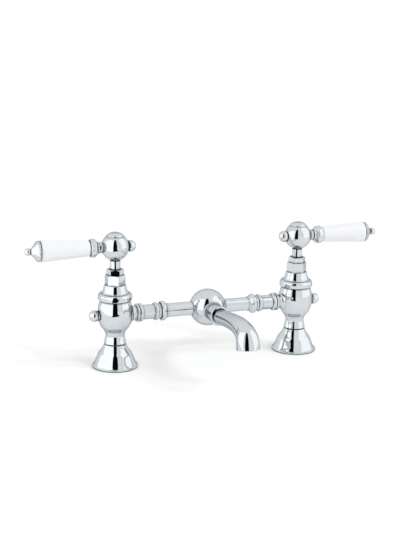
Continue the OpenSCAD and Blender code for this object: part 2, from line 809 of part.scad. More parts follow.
// Sleeve from a pillar's union to the gland, with a ring and a thread at its end
module arm_sleeve(side) {
    color(chrome) at_pillar(side) outward(-side, z_bridge) difference() {
        union() {
            post(boss_thread_r - fit_gap, sleeve_start, union_flange_t);
            post(sleeve_r, sleeve_start, sleeve_end - sleeve_start);
            rotate_extrude() polygon(concat(
                [[0, sleeve_ring]],
                curve([
                    [sleeve_ring_r - 1, sleeve_ring],
                    [sleeve_ring_r - 0.15, sleeve_ring + 0.6],
                    [sleeve_ring_r, sleeve_ring + sleeve_ring_len / 2],
                    [sleeve_ring_r - 0.15, sleeve_ring + sleeve_ring_len - 0.6],
                    [sleeve_ring_r - 1, sleeve_ring + sleeve_ring_len]]),
                [[0, sleeve_ring + sleeve_ring_len]]));
            post(sleeve_thread_r, sleeve_ring, sleeve_end - sleeve_ring);
        }
        post(arm_way_r, sleeve_start - past, sleeve_end);
        post(arm_bore_r + fit_gap, sleeve_end - slide_len - past, slide_len + 2 * past);
    }
}

// Gland nuts that close the sleeves on the tubes
module arm_nuts() {
    color(chrome) for (side = [-1, 1]) at_pillar(side) outward(-side, z_bridge) difference() {
        rotate_extrude() polygon(concat(
            [[0, arm_nut_start], [arm_nut_r - 0.6, arm_nut_start]],
            curve([
                [arm_nut_r, arm_nut_start + arm_nut_len * 0.077],
                [arm_nut_r, arm_nut_start + arm_nut_len * 0.41],
                [arm_nut_r - 0.9, arm_nut_start + arm_nut_len * 0.59],
                [sleeve_r + 0.2, arm_nut_start + arm_nut_len * 0.77]]),
            [
                [sleeve_r, arm_nut_start + arm_nut_len * 0.795],
                [sleeve_r, arm_nut_start + arm_nut_len],
                [0, arm_nut_start + arm_nut_len]]));
        post(sleeve_thread_r, arm_nut_start - past, arm_wall - arm_nut_start + past);
        post(tube_r + fit_gap, arm_nut_start, arm_nut_len + past);
    }
}

// Seals round the tubes, between the sleeves and the gland nuts
module arm_orings() {
    color(rubber) for (side = [-1, 1]) at_pillar(side) outward(-side, z_bridge)
        ring(sleeve_thread_r - fit_gap, tube_r, sleeve_end, arm_oring_t);
}

// Tube from the gland to the ball, with a thinner end that slides in the sleeve
module arm_tube(side) {
    color(chrome) at_pillar(side) outward(-side, z_bridge) difference() {
        union() {
            post(tube_r, sleeve_end, tube_end - sleeve_end);
            post(arm_bore_r, sleeve_end - slide_len + 3, slide_len);
        }
        post(arm_way_r, 0, tube_end + past);
    }
}

// Ball with a socket for each tube and the neck of the spout
module mixer_ball() {
    socket = hole_spacing / 2 - tube_end;
    color(chrome) translate([0, 0, z_bridge]) difference() {
        union() {
            rotate([0, 90, 0]) rotate_extrude() difference() {
                circle(r = ball_r);
                translate([-2 * ball_r, -ball_r]) square([2 * ball_r, 2 * ball_r]);
            }
            rotate([90, 0, 0]) post(spout_neck_r, cavity_r - 2, neck_end - cavity_r + 2);
        }
        rotate([0, 90, 0]) rotate_extrude() {
            intersection() {
                circle(r = cavity_r);
                translate([0, -ball_r]) square([ball_r, 2 * ball_r]);
            }
            translate([0, -ball_r]) square([arm_way_r, 2 * ball_r]);
            for (end = [socket, -ball_r - past])
                translate([0, end]) square([tube_r + fit_gap, ball_r + past - socket]);
        }
        rotate([90, 0, 0]) post(spout_way_r, 1, neck_end);
        rotate([90, 0, 0]) post(spout_spigot_r + fit_gap, spout_socket, neck_end);
    }
}

// Rounded ring between the neck and the spout
module spout_ring() {
    color(chrome) translate([0, 0, z_bridge]) rotate([90, 0, 0]) difference() {
        rotate_extrude() polygon(concat(
            [[0, neck_end]],
            curve([
                [spout_ring_r - 1, neck_end],
                [spout_ring_r - 0.2, neck_end + 0.7],
                [spout_ring_r, neck_end + 1.75],
                [spout_ring_r - 0.2, ring_end - 0.7],
                [spout_ring_r - 1.1, ring_end]]),
            [[0, ring_end]]));
        post(spout_spigot_r + fit_gap, neck_end - past, ring_end);
    }
}

// Seal in the groove of the spout's spigot
module spout_oring() {
    color(rubber) translate([0, 0, z_bridge]) rotate([90, 0, 0])
        ring(spout_spigot_r + fit_gap, oring_in, oring_at, oring_w);
}

// Places on the outlet, with +Z up into the spout
module at_outlet() {
    translate([0, -spout_reach, z_bridge - outlet_drop]) rotate([-outlet_tilt, 0, 0]) children();
}

// Spout: a turned spigot, and a tube that swells as it rises and turns down to the outlet
module spout() {
    stations = [for (s = spout_line) [
        -mix(ring_end + shank_len * 0.75, spout_reach, s[0]),
        z_bridge + s[1] * (s[1] > 0 ? spout_rise : outlet_drop)]];
    beyond = stations[len(stations) - 1] - spout_past * [sin(outlet_tilt), cos(outlet_tilt)];
    line = curve(concat(stations, [beyond]), spout_steps);
    cut = 2 * spout_end_r;
    swell = [for (t = [0, 0.03, 0.21, 0.47, 0.75, 0.94, 1, 1])
        [mix(spout_root_r, spout_end_r, t), 0]];
    radii = [for (p = curve(swell, spout_steps)) p[0]];
    color(chrome) difference() {
        union() {
            swept_tube(line, radii, spout_wall);
            translate([0, 0, z_bridge]) rotate([90, 0, 0]) difference() {
                union() {
                    post(spout_spigot_r, spout_socket, ring_end - spout_socket + 1);
                    post(spout_root_r, ring_end, shank_len);
                }
                post(spout_way_r, spout_socket - past, ring_end);
                ring(spout_spigot_r + past, oring_in, oring_at, oring_w);
            }
        }
        at_outlet() translate([-cut, -cut, -cut]) cube([2 * cut, 2 * cut, cut]);
        at_outlet() post(outlet_bore_r, -past, outlet_bore_h + past);
    }
}

// Disc with rows of small holes, up in the spout's outlet
module flow_straightener() {
    z = outlet_bore_h - straightener_t;
    color(nylon) at_outlet() difference() {
        post(outlet_bore_r - fit_gap, z, straightener_t);
        for (row = [1 : 3]) for (k = [0 : 6 * row - 1]) rotate([0, 0, k * 60 / row])
            translate([row * outlet_bore_r * 0.28, 0, 0]) post(0.85, z - past, straightener_t + 2 * past);
    }
}

base_bell(-1);  // hot_base_bell
base_bell(1);  // cold_base_bell
pillar_body(-1);  // hot_pillar_body
pillar_body(1);  // cold_pillar_body
inlet_tail(-1);  // hot_inlet_tail
inlet_tail(1);  // cold_inlet_tail
collar_ring(-1);  // hot_collar_ring
collar_ring(1);  // cold_collar_ring
bonnet(-1, hot_bonnet_turn);  // hot_bonnet
bonnet(1, cold_bonnet_turn);  // cold_bonnet
gland_nut(-1, hot_gland_turn);  // hot_gland_nut
gland_nut(1, cold_gland_turn);  // cold_gland_nut
valve_body(-1);  // hot_valve_body
valve_body(1);  // cold_valve_body
fixed_disc(-1);  // hot_fixed_disc
fixed_disc(1);  // cold_fixed_disc
moving_disc(-1);  // hot_moving_disc
moving_disc(1);  // cold_moving_disc
spindle(-1);  // hot_spindle
spindle(1);  // cold_spindle
hub_neck(-1);  // hot_hub_neck
hub_neck(1);  // cold_hub_neck
lever_hub(-1);  // hot_lever_hub
lever_hub(1);  // cold_lever_hub
hub_screw(-1);  // hot_hub_screw
hub_screw(1);  // cold_hub_screw
index_cap(-1);  // hot_index_cap
index_cap(1);  // cold_index_cap
lever_rod(-1);  // hot_lever_rod
lever_rod(1);  // cold_lever_rod
lever_collar(-1);  // hot_lever_collar
lever_collar(1);  // cold_lever_collar
lever_grip(-1);  // hot_lever_grip
lever_grip(1);  // cold_lever_grip
grip_washers(-1);  // hot_grip_washers
grip_washers(1);  // cold_grip_washers
lever_end_cap(-1);  // hot_lever_end_cap
lever_end_cap(1);  // cold_lever_end_cap
hub_finial(-1);  // hot_hub_finial
hub_finial(1);  // cold_hub_finial
base_gaskets();
clamp_washers();
backnuts();
seat_seals();
valve_orings();
gland_orings();
side_finials();
union_nuts();
union_washers();
arm_sleeve(-1);  // hot_arm_sleeve
arm_sleeve(1);  // cold_arm_sleeve
arm_nuts();
arm_orings();
arm_tube(-1);  // hot_arm_tube
arm_tube(1);  // cold_arm_tube
mixer_ball();
spout_ring();
spout_oring();
spout();
flow_straightener();
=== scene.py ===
"""Looks of a bridge basin mixer: turned and swept chrome, glazed grips and a pale studio.

Shapes are drawn in millimetres along +Z, and piece() puts them in place in metres. A row is a
ring of points round an axis, and a shell is a tuple of corners, faces and place.
"""
import bmesh
import bpy
import json
import math
import numpy as np
from mathutils import Matrix, Vector


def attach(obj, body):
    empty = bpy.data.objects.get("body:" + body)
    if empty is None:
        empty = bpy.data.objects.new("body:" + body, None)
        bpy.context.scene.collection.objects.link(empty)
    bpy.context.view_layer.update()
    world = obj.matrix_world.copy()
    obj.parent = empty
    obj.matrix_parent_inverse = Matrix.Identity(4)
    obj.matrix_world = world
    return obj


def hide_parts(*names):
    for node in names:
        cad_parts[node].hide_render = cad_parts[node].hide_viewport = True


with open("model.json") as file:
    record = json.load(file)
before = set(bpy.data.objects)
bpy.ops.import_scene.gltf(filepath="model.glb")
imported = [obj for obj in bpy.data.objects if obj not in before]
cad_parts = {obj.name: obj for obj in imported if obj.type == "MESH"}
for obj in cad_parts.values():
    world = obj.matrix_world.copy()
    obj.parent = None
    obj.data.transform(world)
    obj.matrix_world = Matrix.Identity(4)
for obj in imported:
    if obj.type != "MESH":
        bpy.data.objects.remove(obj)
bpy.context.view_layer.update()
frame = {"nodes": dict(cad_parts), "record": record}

# Layout: the sizes from here to the spout's are in millimetres and degrees, as in the part's source
HALF = 100.0
SPOUT_REACH = 113.5
SPOUT_RISE = 5.2
OUTLET_DROP = 11.3
OUTLET_TILT = 10.0
DECK_T = 16.0
SIDES = {"hot": -1, "cold": 1}

# Pillar
BELL_R = 23.5
BELL_H = 24.0
FOOT_R = 11.7
WAIST_R = 9.7
BOWL_R = 17.9
RIM_R = 15.0
LOWER_H = 30.6
UPPER_H = 16.0
COLLAR_H = 7.0
COLLAR_R = 17.5

# Valve head
SKIRT_H = 8.4
SKIRT_R = 14.0
BONNET_HEX_H = 10.7
BONNET_FLATS = 18.5
BONNET_TURN = {"hot": 25.7, "cold": 12.7}
GLAND_HEX_H = 5.6
GLAND_FLATS = 16.0
GLAND_TURN = {"hot": 15.7, "cold": 8.6}
SPINDLE_R = 4.0
DISC_R = 7.0
NECK_H = 9.15
NECK_R = 5.4

# Lever
HUB_R = 14.2
GRIP_START = 24.0
GRIP_LEN = 51.8
GRIP_R = 11.45
GRIP_ROOT_R = 8.4
FERRULE_R = 9.25
ROD_R = 3.0
END_DISC_R = 10.6
END_CAP_LEN = 15.5
TIP_R = 3.7
FINIAL_R = 5.95

# Bridge and spout
TUBE_R = 7.15
SLEEVE_R = 7.6
UNION_R = 9.45
ARM_NUT_R = 10.15
SLEEVE_RING_R = 9.3
BALL_R = 19.3
SPOUT_NECK_R = 9.5
SPOUT_RING_R = 10.3
SPOUT_ROOT_R = 7.9
SPOUT_END_R = 11.5

# Deck fixing
TAIL_R = 10.4775
TAIL_LEN = 50.0
WASHER_R = 18.0
BACKNUT_FLATS = 28.0

# Clearances
FIT_GAP = 0.05
TURN_GAP = 0.15

# Heights up each pillar
Z_FOOT = BELL_H
Z_BRIDGE = Z_FOOT + LOWER_H
Z_RIM = Z_BRIDGE + UPPER_H
Z_COLLAR = Z_RIM + COLLAR_H
Z_HEX = Z_COLLAR + SKIRT_H
Z_GLAND = Z_HEX + BONNET_HEX_H
Z_NECK = Z_GLAND + GLAND_HEX_H + TURN_GAP
Z_HUB_SEAT = Z_NECK + NECK_H
HUB_SEAT_R = 4.7
Z_LEVER = Z_HUB_SEAT + math.sqrt(HUB_R ** 2 - HUB_SEAT_R ** 2)

# Bell and gasket
GASKET_T = 2.0
GASKET_R = BELL_R - 2.7
GASKET_IN = 14.0
BELL_CAVITY_R = BELL_R - 7.5
BELL_TOP_R = FOOT_R - 0.1
TAIL_CLEAR = 0.15
FOOT_GROOVE = 2.2
FOOT_GROOVE_H = 1.1

# Tail and its fixing
SPIGOT_R = 8.0
SPIGOT_H = 6.0
TAIL_BORE_R = 6.5
RELIEF_R = 9.6
RELIEF_H = 1.5
FREE_LEN = 16.0
THREAD_PITCH = 1.814
THREAD_DEPTH = 1.16
WASHER_T = 3.0
BACKNUT_H = 6.0

# Valve chamber in the body, bonnet and gland nut
WAY_R = 5.2
PORT_R = 5.0
CHAMBER_R = DISC_R + 2.5
COUNTER_R = CHAMBER_R + 1.5
Z_SEAT = Z_BRIDGE - 8.6
Z_COUNTER = Z_BRIDGE + 9.4
BONNET_THREAD_R = COUNTER_R - FIT_GAP
BONNET_BORE_R = 9.0
Z_BONNET_FOOT = Z_COLLAR - 4.5
Z_BONNET_WALL = Z_HEX - 2
GLAND_THREAD_R = 6.5
GLAND_POCKET_H = 4.7
GLAND_RING_H = 1.5
SPINDLE_BORE_R = SPINDLE_R + FIT_GAP

# Lever hub, measured from its own centre, with the faces for the lever and the finial
HUB_TOP = 10.8
CAP_H = 3.8
CAP_TOP_R = 4.4
CAP_SPIGOT_R = 7.0
CAP_SPIGOT_H = 3.7
LEVER_FACE_R = 5.7
LEVER_SEAT = math.sqrt(HUB_R ** 2 - LEVER_FACE_R ** 2)
FINIAL_FLANGE_R = 5.0
FINIAL_FACE_R = FINIAL_FLANGE_R + 0.2
FINIAL_SEAT = math.sqrt(HUB_R ** 2 - FINIAL_FACE_R ** 2)
FINIAL_NECK_R = 4.2
FINIAL_GROOVE = 0.7

# Grip and end cap, measured from the pillar's axis outward
GRIP_SPIGOT_R = 6.5
GRIP_SPIGOT_H = 2.0
GRIP_WASHER_T = 0.4
GRIP_END = GRIP_START + GRIP_LEN
CAP_START = GRIP_END + GRIP_WASHER_T

# Bridge, measured from the pillar's axis towards the middle
BOSS_END = BOWL_R + 3.7
BOSS_THREAD_R = 8.2
BOSS_THREAD_LEN = 3.4
UNION_WASHER_T = 1.2
UNION_FLANGE_T = 1.1
UNION_LEN = 6.9
SLEEVE_START = BOSS_END + BOSS_THREAD_LEN + UNION_WASHER_T
SLEEVE_RING = BOSS_END + 19.3
SLEEVE_RING_LEN = 3.8
SLEEVE_THREAD_R = 8.0
ARM_NUT_START = SLEEVE_RING + SLEEVE_RING_LEN + 3.3
ARM_NUT_LEN = 7.8
SLEEVE_END = ARM_NUT_START + 3
ARM_ORING_T = 1.5
ARM_BORE_R = 5.9
ARM_WAY_R = 4.5
SLIDE_LEN = 17.0
TUBE_END = HALF - 13.5

# Ball and spout, measured in front of the ball's centre
CAVITY_R = 11.0
NECK_END = BALL_R + 14.7
RING_END = NECK_END + 3.5
SPOUT_SPIGOT_R = 7.0
SPOUT_SOCKET = NECK_END - 10
SPOUT_WAY_R = 4.8
SHANK_LEN = 1.6
SPOUT_WALL = 1.6
SPOUT_PAST = 4.6
OUTLET_BORE_H = 5.0

# Spout: stations as [share of the reach, height as a share of the rise or the drop], and its swell
SPOUT_LINE = [
    [0, 0], [0.255, 0.53], [0.553, 1], [0.785, 0.87], [0.924, 0.16], [0.978, -0.38], [1, -1]]
SPOUT_SWELL = [0, 0.03, 0.21, 0.47, 0.75, 0.94, 1, 1]

# Number of sides of small, middling and large turned shapes
SMALL = 96
MIDDLING = 120
LARGE = 144

# Light: the sky's level on the object, and what the floor adds where it is looked at
SKY = 0.82
FLOOR_GLOW = 0.115

# Noise values between which a material goes from one tone or roughness to the other
NOISE_LOW = 0.35
NOISE_HIGH = 0.65

# Camera: degrees, millimetres, and its focal length in pixels of the photograph's height
CAMERA_AZIMUTH = 20.053
CAMERA_ELEVATION = 14.713
CAMERA_ROLL = 1.1207
CAMERA_AIM = (-9.04, 0, 84.23)
CAMERA_DISTANCE = 1189.71
FOCAL_PIXELS = 1150.135
HEIGHT_PIXELS = 560
SENSOR = 36


# Camera at the photograph's place
def make_camera():
    azimuth = math.radians(CAMERA_AZIMUTH)
    elevation = math.radians(CAMERA_ELEVATION)
    roll = math.radians(CAMERA_ROLL)
    level = math.cos(elevation)
    back = Vector((-math.sin(azimuth) * level, -math.cos(azimuth) * level, math.sin(elevation)))
    right = Vector((math.cos(azimuth), -math.sin(azimuth), 0))
    up = right.cross(-back)
    eye = (Vector(CAMERA_AIM) + back * CAMERA_DISTANCE) / 1000
    rolled_right = right * math.cos(roll) + up * math.sin(roll)
    rolled_up = -right * math.sin(roll) + up * math.cos(roll)
    data = bpy.data.cameras.new("camera")
    data.sensor_fit = "AUTO"
    data.sensor_width = SENSOR
    data.lens = FOCAL_PIXELS * SENSOR / HEIGHT_PIXELS
    data.clip_start, data.clip_end = 0.01, 100
    camera = bpy.data.objects.new("camera", data)
    bpy.context.scene.collection.objects.link(camera)
    columns = (rolled_right, rolled_up, back, eye)
    camera.matrix_world = Matrix([[column[i] for column in columns] for i in range(3)] + [[0, 0, 0, 1]])
    bpy.context.scene.camera = camera


make_camera()


# Materials
class Surface:
    """A material with its shader, and the nodes that vary it over the surface."""

    def __init__(self, name):
        self.material = bpy.data.materials.new(name)
        self.material.use_nodes = True
        self.nodes = self.material.node_tree.nodes
        self.links = self.material.node_tree.links
        self.shader = self.nodes["Principled BSDF"]

    def set(self, socket, value):
        self.shader.inputs[socket].default_value = value

    def noise(self, scale, detail=2.0, stretch=(1, 1, 1)):
        where = self.nodes.new("ShaderNodeTexCoord")
        mapping = self.nodes.new("ShaderNodeMapping")
        mapping.inputs["Scale"].default_value = stretch
        made = self.nodes.new("ShaderNodeTexNoise")
        made.inputs["Scale"].default_value = scale
        made.inputs["Detail"].default_value = detail
        self.links.new(where.outputs["Object"], mapping.inputs["Vector"])
        self.links.new(mapping.outputs["Vector"], made.inputs["Vector"])
        return made.outputs["Fac"]

    def tint(self, noise, low, high, socket=None):
        """Colour between two tones; it goes to the shader where no other socket is given."""
        ramp = self.nodes.new("ShaderNodeValToRGB")
        first, last = ramp.color_ramp.elements
        first.position, last.position = NOISE_LOW, NOISE_HIGH
        first.color, last.color = (*low, 1), (*high, 1)
        self.links.new(noise, ramp.inputs["Fac"])
        self.links.new(ramp.outputs["Color"], socket or self.shader.inputs["Base Color"])

    def roughness(self, noise, low, high):
        span = self.nodes.new("ShaderNodeMapRange")
        span.inputs["From Min"].default_value = NOISE_LOW
        span.inputs["From Max"].default_value = NOISE_HIGH
        span.inputs["To Min"].default_value = low
        span.inputs["To Max"].default_value = high
        self.links.new(noise, span.inputs["Value"])
        self.links.new(span.outputs["Result"], self.shader.inputs["Roughness"])

    def bump(self, noise, strength, distance):
        made = self.nodes.new("ShaderNodeBump")
        made.inputs["Strength"].default_value = strength
        made.inputs["Distance"].default_value = distance
        self.links.new(noise, made.inputs["Height"])
        self.links.new(made.outputs["Normal"], self.shader.inputs["Normal"])

    def paint_joint_shade(self, shade_colour, reach):
        """Paints shade into joints and contacts as a darker colour; returns the unshaded colour's
        socket.
        """
        shut, clear = 0.5, 0.95
        near = self.nodes.new("ShaderNodeAmbientOcclusion")
        near.samples = 12
        near.inputs["Distance"].default_value = reach
        openness = self.nodes.new("ShaderNodeMapRange")
        openness.inputs["From Min"].default_value = shut
        openness.inputs["From Max"].default_value = clear
        self.links.new(near.outputs["AO"], openness.inputs["Value"])
        blend = self.nodes.new("ShaderNodeMix")
        blend.data_type = "RGBA"
        # the node's colour sockets come after those for numbers and vectors
        shaded, unshaded, result = blend.inputs[6], blend.inputs[7], blend.outputs[2]
        shaded.default_value = (*shade_colour, 1)
        self.links.new(openness.outputs["Result"], blend.inputs["Factor"])
        self.links.new(result, self.shader.inputs["Base Color"])
        return unshaded


def share_seen(nodes, links, low, high):
    """Strength that is high where the camera, gloss or glass looks and low elsewhere."""
    path = nodes.new("ShaderNodeLightPath")
    total = path.outputs["Is Camera Ray"]
    for name in ("Is Glossy Ray", "Is Transmission Ray"):
        either = nodes.new("ShaderNodeMath")
        either.operation = "MAXIMUM"
        links.new(total, either.inputs[0])
        links.new(path.outputs[name], either.inputs[1])
        total = either.outputs[0]
    strength = nodes.new("ShaderNodeMapRange")
    strength.inputs["To Min"].default_value = low
    strength.inputs["To Max"].default_value = high
    links.new(total, strength.inputs["Value"])
    return strength.outputs["Result"]


def make_chrome():
    chrome = Surface("chrome")
    chrome.set("Metallic", 1.0)
    cloud = chrome.noise(scale=160, detail=3)
    # painted shade: ambient occlusion darkens the chrome's colour in joints, grooves and where it meets
    # the floor
    unshaded = chrome.paint_joint_shade(shade_colour=(0.04, 0.042, 0.045), reach=0.0025)
    chrome.tint(cloud, (0.62, 0.655, 0.675), (0.645, 0.68, 0.70), unshaded)
    chrome.roughness(chrome.noise(scale=420, detail=4), 0.02, 0.045)
    # polished edges against the bright surround look grey
    chrome.set("Specular Tint", (0.5, 0.53, 0.56, 1))
    chrome.bump(chrome.noise(scale=260), strength=0.02, distance=0.0002)
    return chrome.material


def make_brass():
    brass = Surface("brass")
    brass.set("Metallic", 1.0)
    brass.tint(brass.noise(scale=220, detail=4), (0.62, 0.43, 0.17), (0.78, 0.57, 0.26))
    brass.roughness(brass.noise(scale=900, detail=3), 0.2, 0.34)
    brass.bump(brass.noise(scale=2500, stretch=(1, 1, 12)), strength=0.12, distance=0.0001)
    return brass.material


def make_porcelain():
    glaze = Surface("porcelain")
    glaze.tint(glaze.noise(scale=90, detail=3), (0.835, 0.84, 0.86), (0.86, 0.865, 0.88))
    glaze.roughness(glaze.noise(scale=500, detail=3), 0.16, 0.24)
    glaze.set("IOR", 1.5)
    glaze.set("Coat Weight", 0.7)
    glaze.set("Coat Roughness", 0.04)
    glaze.bump(glaze.noise(scale=140), strength=0.03, distance=0.0003)
    return glaze.material


def make_disc_ceramic():
    ceramic = Surface("disc_ceramic")
    ceramic.tint(ceramic.noise(scale=700, detail=3), (0.8, 0.79, 0.76), (0.86, 0.85, 0.82))
    ceramic.roughness(ceramic.noise(scale=1500, detail=3), 0.3, 0.42)
    ceramic.bump(ceramic.noise(scale=3000), strength=0.05, distance=0.00005)
    return ceramic.material


def make_rubber():
    rubber = Surface("rubber")
    rubber.tint(rubber.noise(scale=800, detail=4), (0.02, 0.02, 0.022), (0.04, 0.04, 0.043))
    rubber.roughness(rubber.noise(scale=1800, detail=3), 0.6, 0.8)
    rubber.bump(rubber.noise(scale=4000, detail=3), strength=0.2, distance=0.00005)
    return rubber.material


def make_plastic():
    plastic = Surface("plastic")
    plastic.tint(plastic.noise(scale=300, detail=3), (0.72, 0.72, 0.7), (0.79, 0.79, 0.77))
    plastic.roughness(plastic.noise(scale=1200, detail=3), 0.38, 0.5)
    plastic.bump(plastic.noise(scale=2600, detail=3), strength=0.08, distance=0.00005)
    return plastic.material


BY_SLOT = {
    "polished_chrome": make_chrome(),
    "raw_brass": make_brass(),
    "white_porcelain": make_porcelain(),
    "disc_ceramic": make_disc_ceramic(),
    "black_rubber": make_rubber(),
    "white_plastic": make_plastic()}
for part in frame["record"]["subparts"]:
    node = frame["nodes"][part["node"]]
    node.data.materials.clear()
    node.data.materials.append(BY_SLOT[part["material_slot"]])


# Outlines and shells
def mix(a, b, share):
    return a + (b - a) * share


def curve(points, steps=8):
    """Smooth curve through the points, the same one as in the part's source."""
    p = np.array(points, float)
    slopes = np.array([p[1] - p[0], *((p[2:] - p[:-2]) / 2), p[-1] - p[-2]])
    out = []
    for i in range(len(p) - 1):
        for k in range(steps):
            t = k / steps
            out.append((2 * t ** 3 - 3 * t ** 2 + 1) * p[i] + (t ** 3 - 2 * t ** 2 + t) * slopes[i]
                       + (3 * t ** 2 - 2 * t ** 3) * p[i + 1] + (t ** 3 - t ** 2) * slopes[i + 1])
    out.append(p[-1])
    return [list(q) for q in out]


def rounded(points, radius, shaded=True):
    """The outline with an arc in place of each corner that turns by 24 degrees or more."""
    sharp, steps, longest, near = 24, 4, 0.42, 1e-6
    p = [np.array(q, float) for q in points]
    p = [q for i, q in enumerate(p) if i == 0 or np.linalg.norm(q - p[i - 1]) > near]
    if shaded and np.linalg.norm(p[0] - p[-1]) < near:
        p = p[:-1]
    n = len(p)
    out = []
    for i, q in enumerate(p):
        if not shaded and i in (0, n - 1):
            out.append(list(q))
            continue
        a, b = p[i - 1] - q, p[(i + 1) % n] - q
        la, lb = np.linalg.norm(a), np.linalg.norm(b)
        a, b = a / la, b / lb
        turn = math.pi - math.acos(max(-1.0, min(1.0, float(a @ b))))
        if math.degrees(turn) < sharp or q[0] < near:
            out.append(list(q))
            continue
        back = min(radius * math.tan(turn / 2), longest * la, longest * lb)
        for k in range(steps + 1):
            t = k / steps
            arc_point = (1 - t) ** 2 * (q + a * back) + 2 * t * (1 - t) * q + t ** 2 * (q + b * back)
            out.append(list(arc_point))
    return out


def arc(radius, low, high, steps):
    """Points of a circle round the origin between two heights, from the low one up."""
    a, b = math.asin(low / radius), math.asin(high / radius)
    return [[radius * math.cos(t), radius * math.sin(t)] for t in np.linspace(a, b, steps)]


def ball_points(radius, centre, start, steps):
    """Points of a ball's outline from an angle above its lowest point, up to but without its top."""
    return [[radius * math.sin(t), centre - radius * math.cos(t)]
            for t in np.linspace(start, math.pi, steps)][:-1]


def angles(count):
    return np.linspace(0, 2 * math.pi, count, endpoint=False)


def rows_at(around, points):
    """A row for each [radius, height]; either may be one number, or one for each angle."""
    rows = []
    for radius, height in points:
        radius = np.broadcast_to(np.asarray(radius, float), around.shape)
        height = np.broadcast_to(np.asarray(height, float), around.shape)
        rows.append(np.stack([radius * np.cos(around), radius * np.sin(around), height], 1))
    return rows


def loft(rows, where, wrap=True):
    """Shell through the rows; with wrap the last row meets the first."""
    n = len(rows[0])
    here = np.arange(n)
    beside = (here + 1) % n
    faces = []
    for i in range(len(rows) if wrap else len(rows) - 1):
        i2 = (i + 1) % len(rows)
        faces.append(np.stack([i * n + here, i * n + beside, i2 * n + beside, i2 * n + here], 1))
    return np.concatenate(rows), np.concatenate(faces), where


def lathe(outline, where, sides=SMALL, wrap=True):
    """Shell of an outline turned about its axis; without wrap the outline runs from axis to axis."""
    return loft(rows_at(angles(sides), outline), where, wrap)


def place(side, z=0.0, out=0):
    """Place of a shape on a pillar's axis: upright, or turned to lie outward (1) or inward (-1)."""
    here = Matrix.Translation((side * HALF, 0, z))
    return here @ Matrix.Rotation(math.radians(90 * side * out), 4, "Y") if out else here


def weigh_normals(mesh):
    """Gives each corner the mean normal, by area, of its faces that turn by less than 50 degrees."""
    limit = math.cos(math.radians(50))
    count = len(mesh.polygons)
    normal = np.zeros(count * 3)
    area = np.zeros(count)
    total = np.zeros(count, int)
    vertex = np.zeros(len(mesh.loops), int)
    mesh.polygons.foreach_get("normal", normal)
    mesh.polygons.foreach_get("area", area)
    mesh.polygons.foreach_get("loop_total", total)
    mesh.loops.foreach_get("vertex_index", vertex)
    normal = normal.reshape(-1, 3)
    face = np.repeat(np.arange(count), total)
    order = np.argsort(vertex, kind="stable")
    starts = np.searchsorted(vertex[order], np.arange(len(mesh.vertices) + 1))
    size = np.diff(starts)
    out = np.zeros((len(vertex), 3))
    for k in np.unique(size[size > 0]):
        group = order[starts[:-1][size == k][:, None] + np.arange(k)[None, :]]
        normals = normal[face[group]]
        alike = np.einsum("vid,vjd->vij", normals, normals) > limit
        out[group] = np.einsum("vij,vj,vjd->vid", alike.astype(float), area[face[group]], normals)
    length = np.linalg.norm(out, axis=1, keepdims=True)
    out = out / np.maximum(length, 1e-12)
    mesh.normals_split_custom_set([tuple(v) for v in out])


def piece(name, body, node, shells, slot="polished_chrome"):
    """One piece from its shells, in metres, that rides a body and stands for a CAD node."""
    mesh = bpy.data.meshes.new(name)
    bm = bmesh.new()
    for corners, faces, where in shells:
        to_metres = Matrix.Scale(0.001, 4) @ where
        made = [bm.verts.new(to_metres @ Vector(c)) for c in corners]
        for f in faces:
            bm.faces.new([made[k] for k in f])
    bmesh.ops.remove_doubles(bm, verts=bm.verts, dist=1e-7)
    bmesh.ops.dissolve_degenerate(bm, dist=1e-8, edges=bm.edges)
    bmesh.ops.recalc_face_normals(bm, faces=bm.faces)
    bm.to_mesh(mesh)
    bm.free()
    mesh.polygons.foreach_set("use_smooth", [True] * len(mesh.polygons))
    weigh_normals(mesh)
    mesh.materials.append(BY_SLOT[slot])
    obj = bpy.data.objects.new(name, mesh)
    bpy.context.scene.collection.objects.link(obj)
    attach(obj, body)
    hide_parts(node)


# Pillars
def bell_outline():
    outside = curve([
        [BELL_R - 1.3, BELL_H * 0.105],
        [BELL_R - 2.6, BELL_H * 0.21],
        [BELL_R - 4.2, BELL_H * 0.375],
        [mix(BELL_R, BELL_TOP_R, 0.53), BELL_H * 0.583],
        [mix(BELL_R, BELL_TOP_R, 0.74), BELL_H * 0.72],
        [BELL_TOP_R + 0.9, BELL_H * 0.87],
        [BELL_TOP_R + 0.1, BELL_H * 0.955]])
    return rounded([
        [GASKET_R + FIT_GAP, 0],
        [BELL_R, 0],
        [BELL_R, BELL_H * 0.07],
        *outside,
        [BELL_TOP_R - 0.5, BELL_H],
        [TAIL_R + TAIL_CLEAR, BELL_H],
        [TAIL_R + TAIL_CLEAR, BELL_H * 0.8],
        [BELL_CAVITY_R - 1.8, BELL_H * 0.58],
        [BELL_CAVITY_R, BELL_H * 0.25],
        [BELL_CAVITY_R, GASKET_T],
        [GASKET_R + FIT_GAP, GASKET_T]], 0.35)


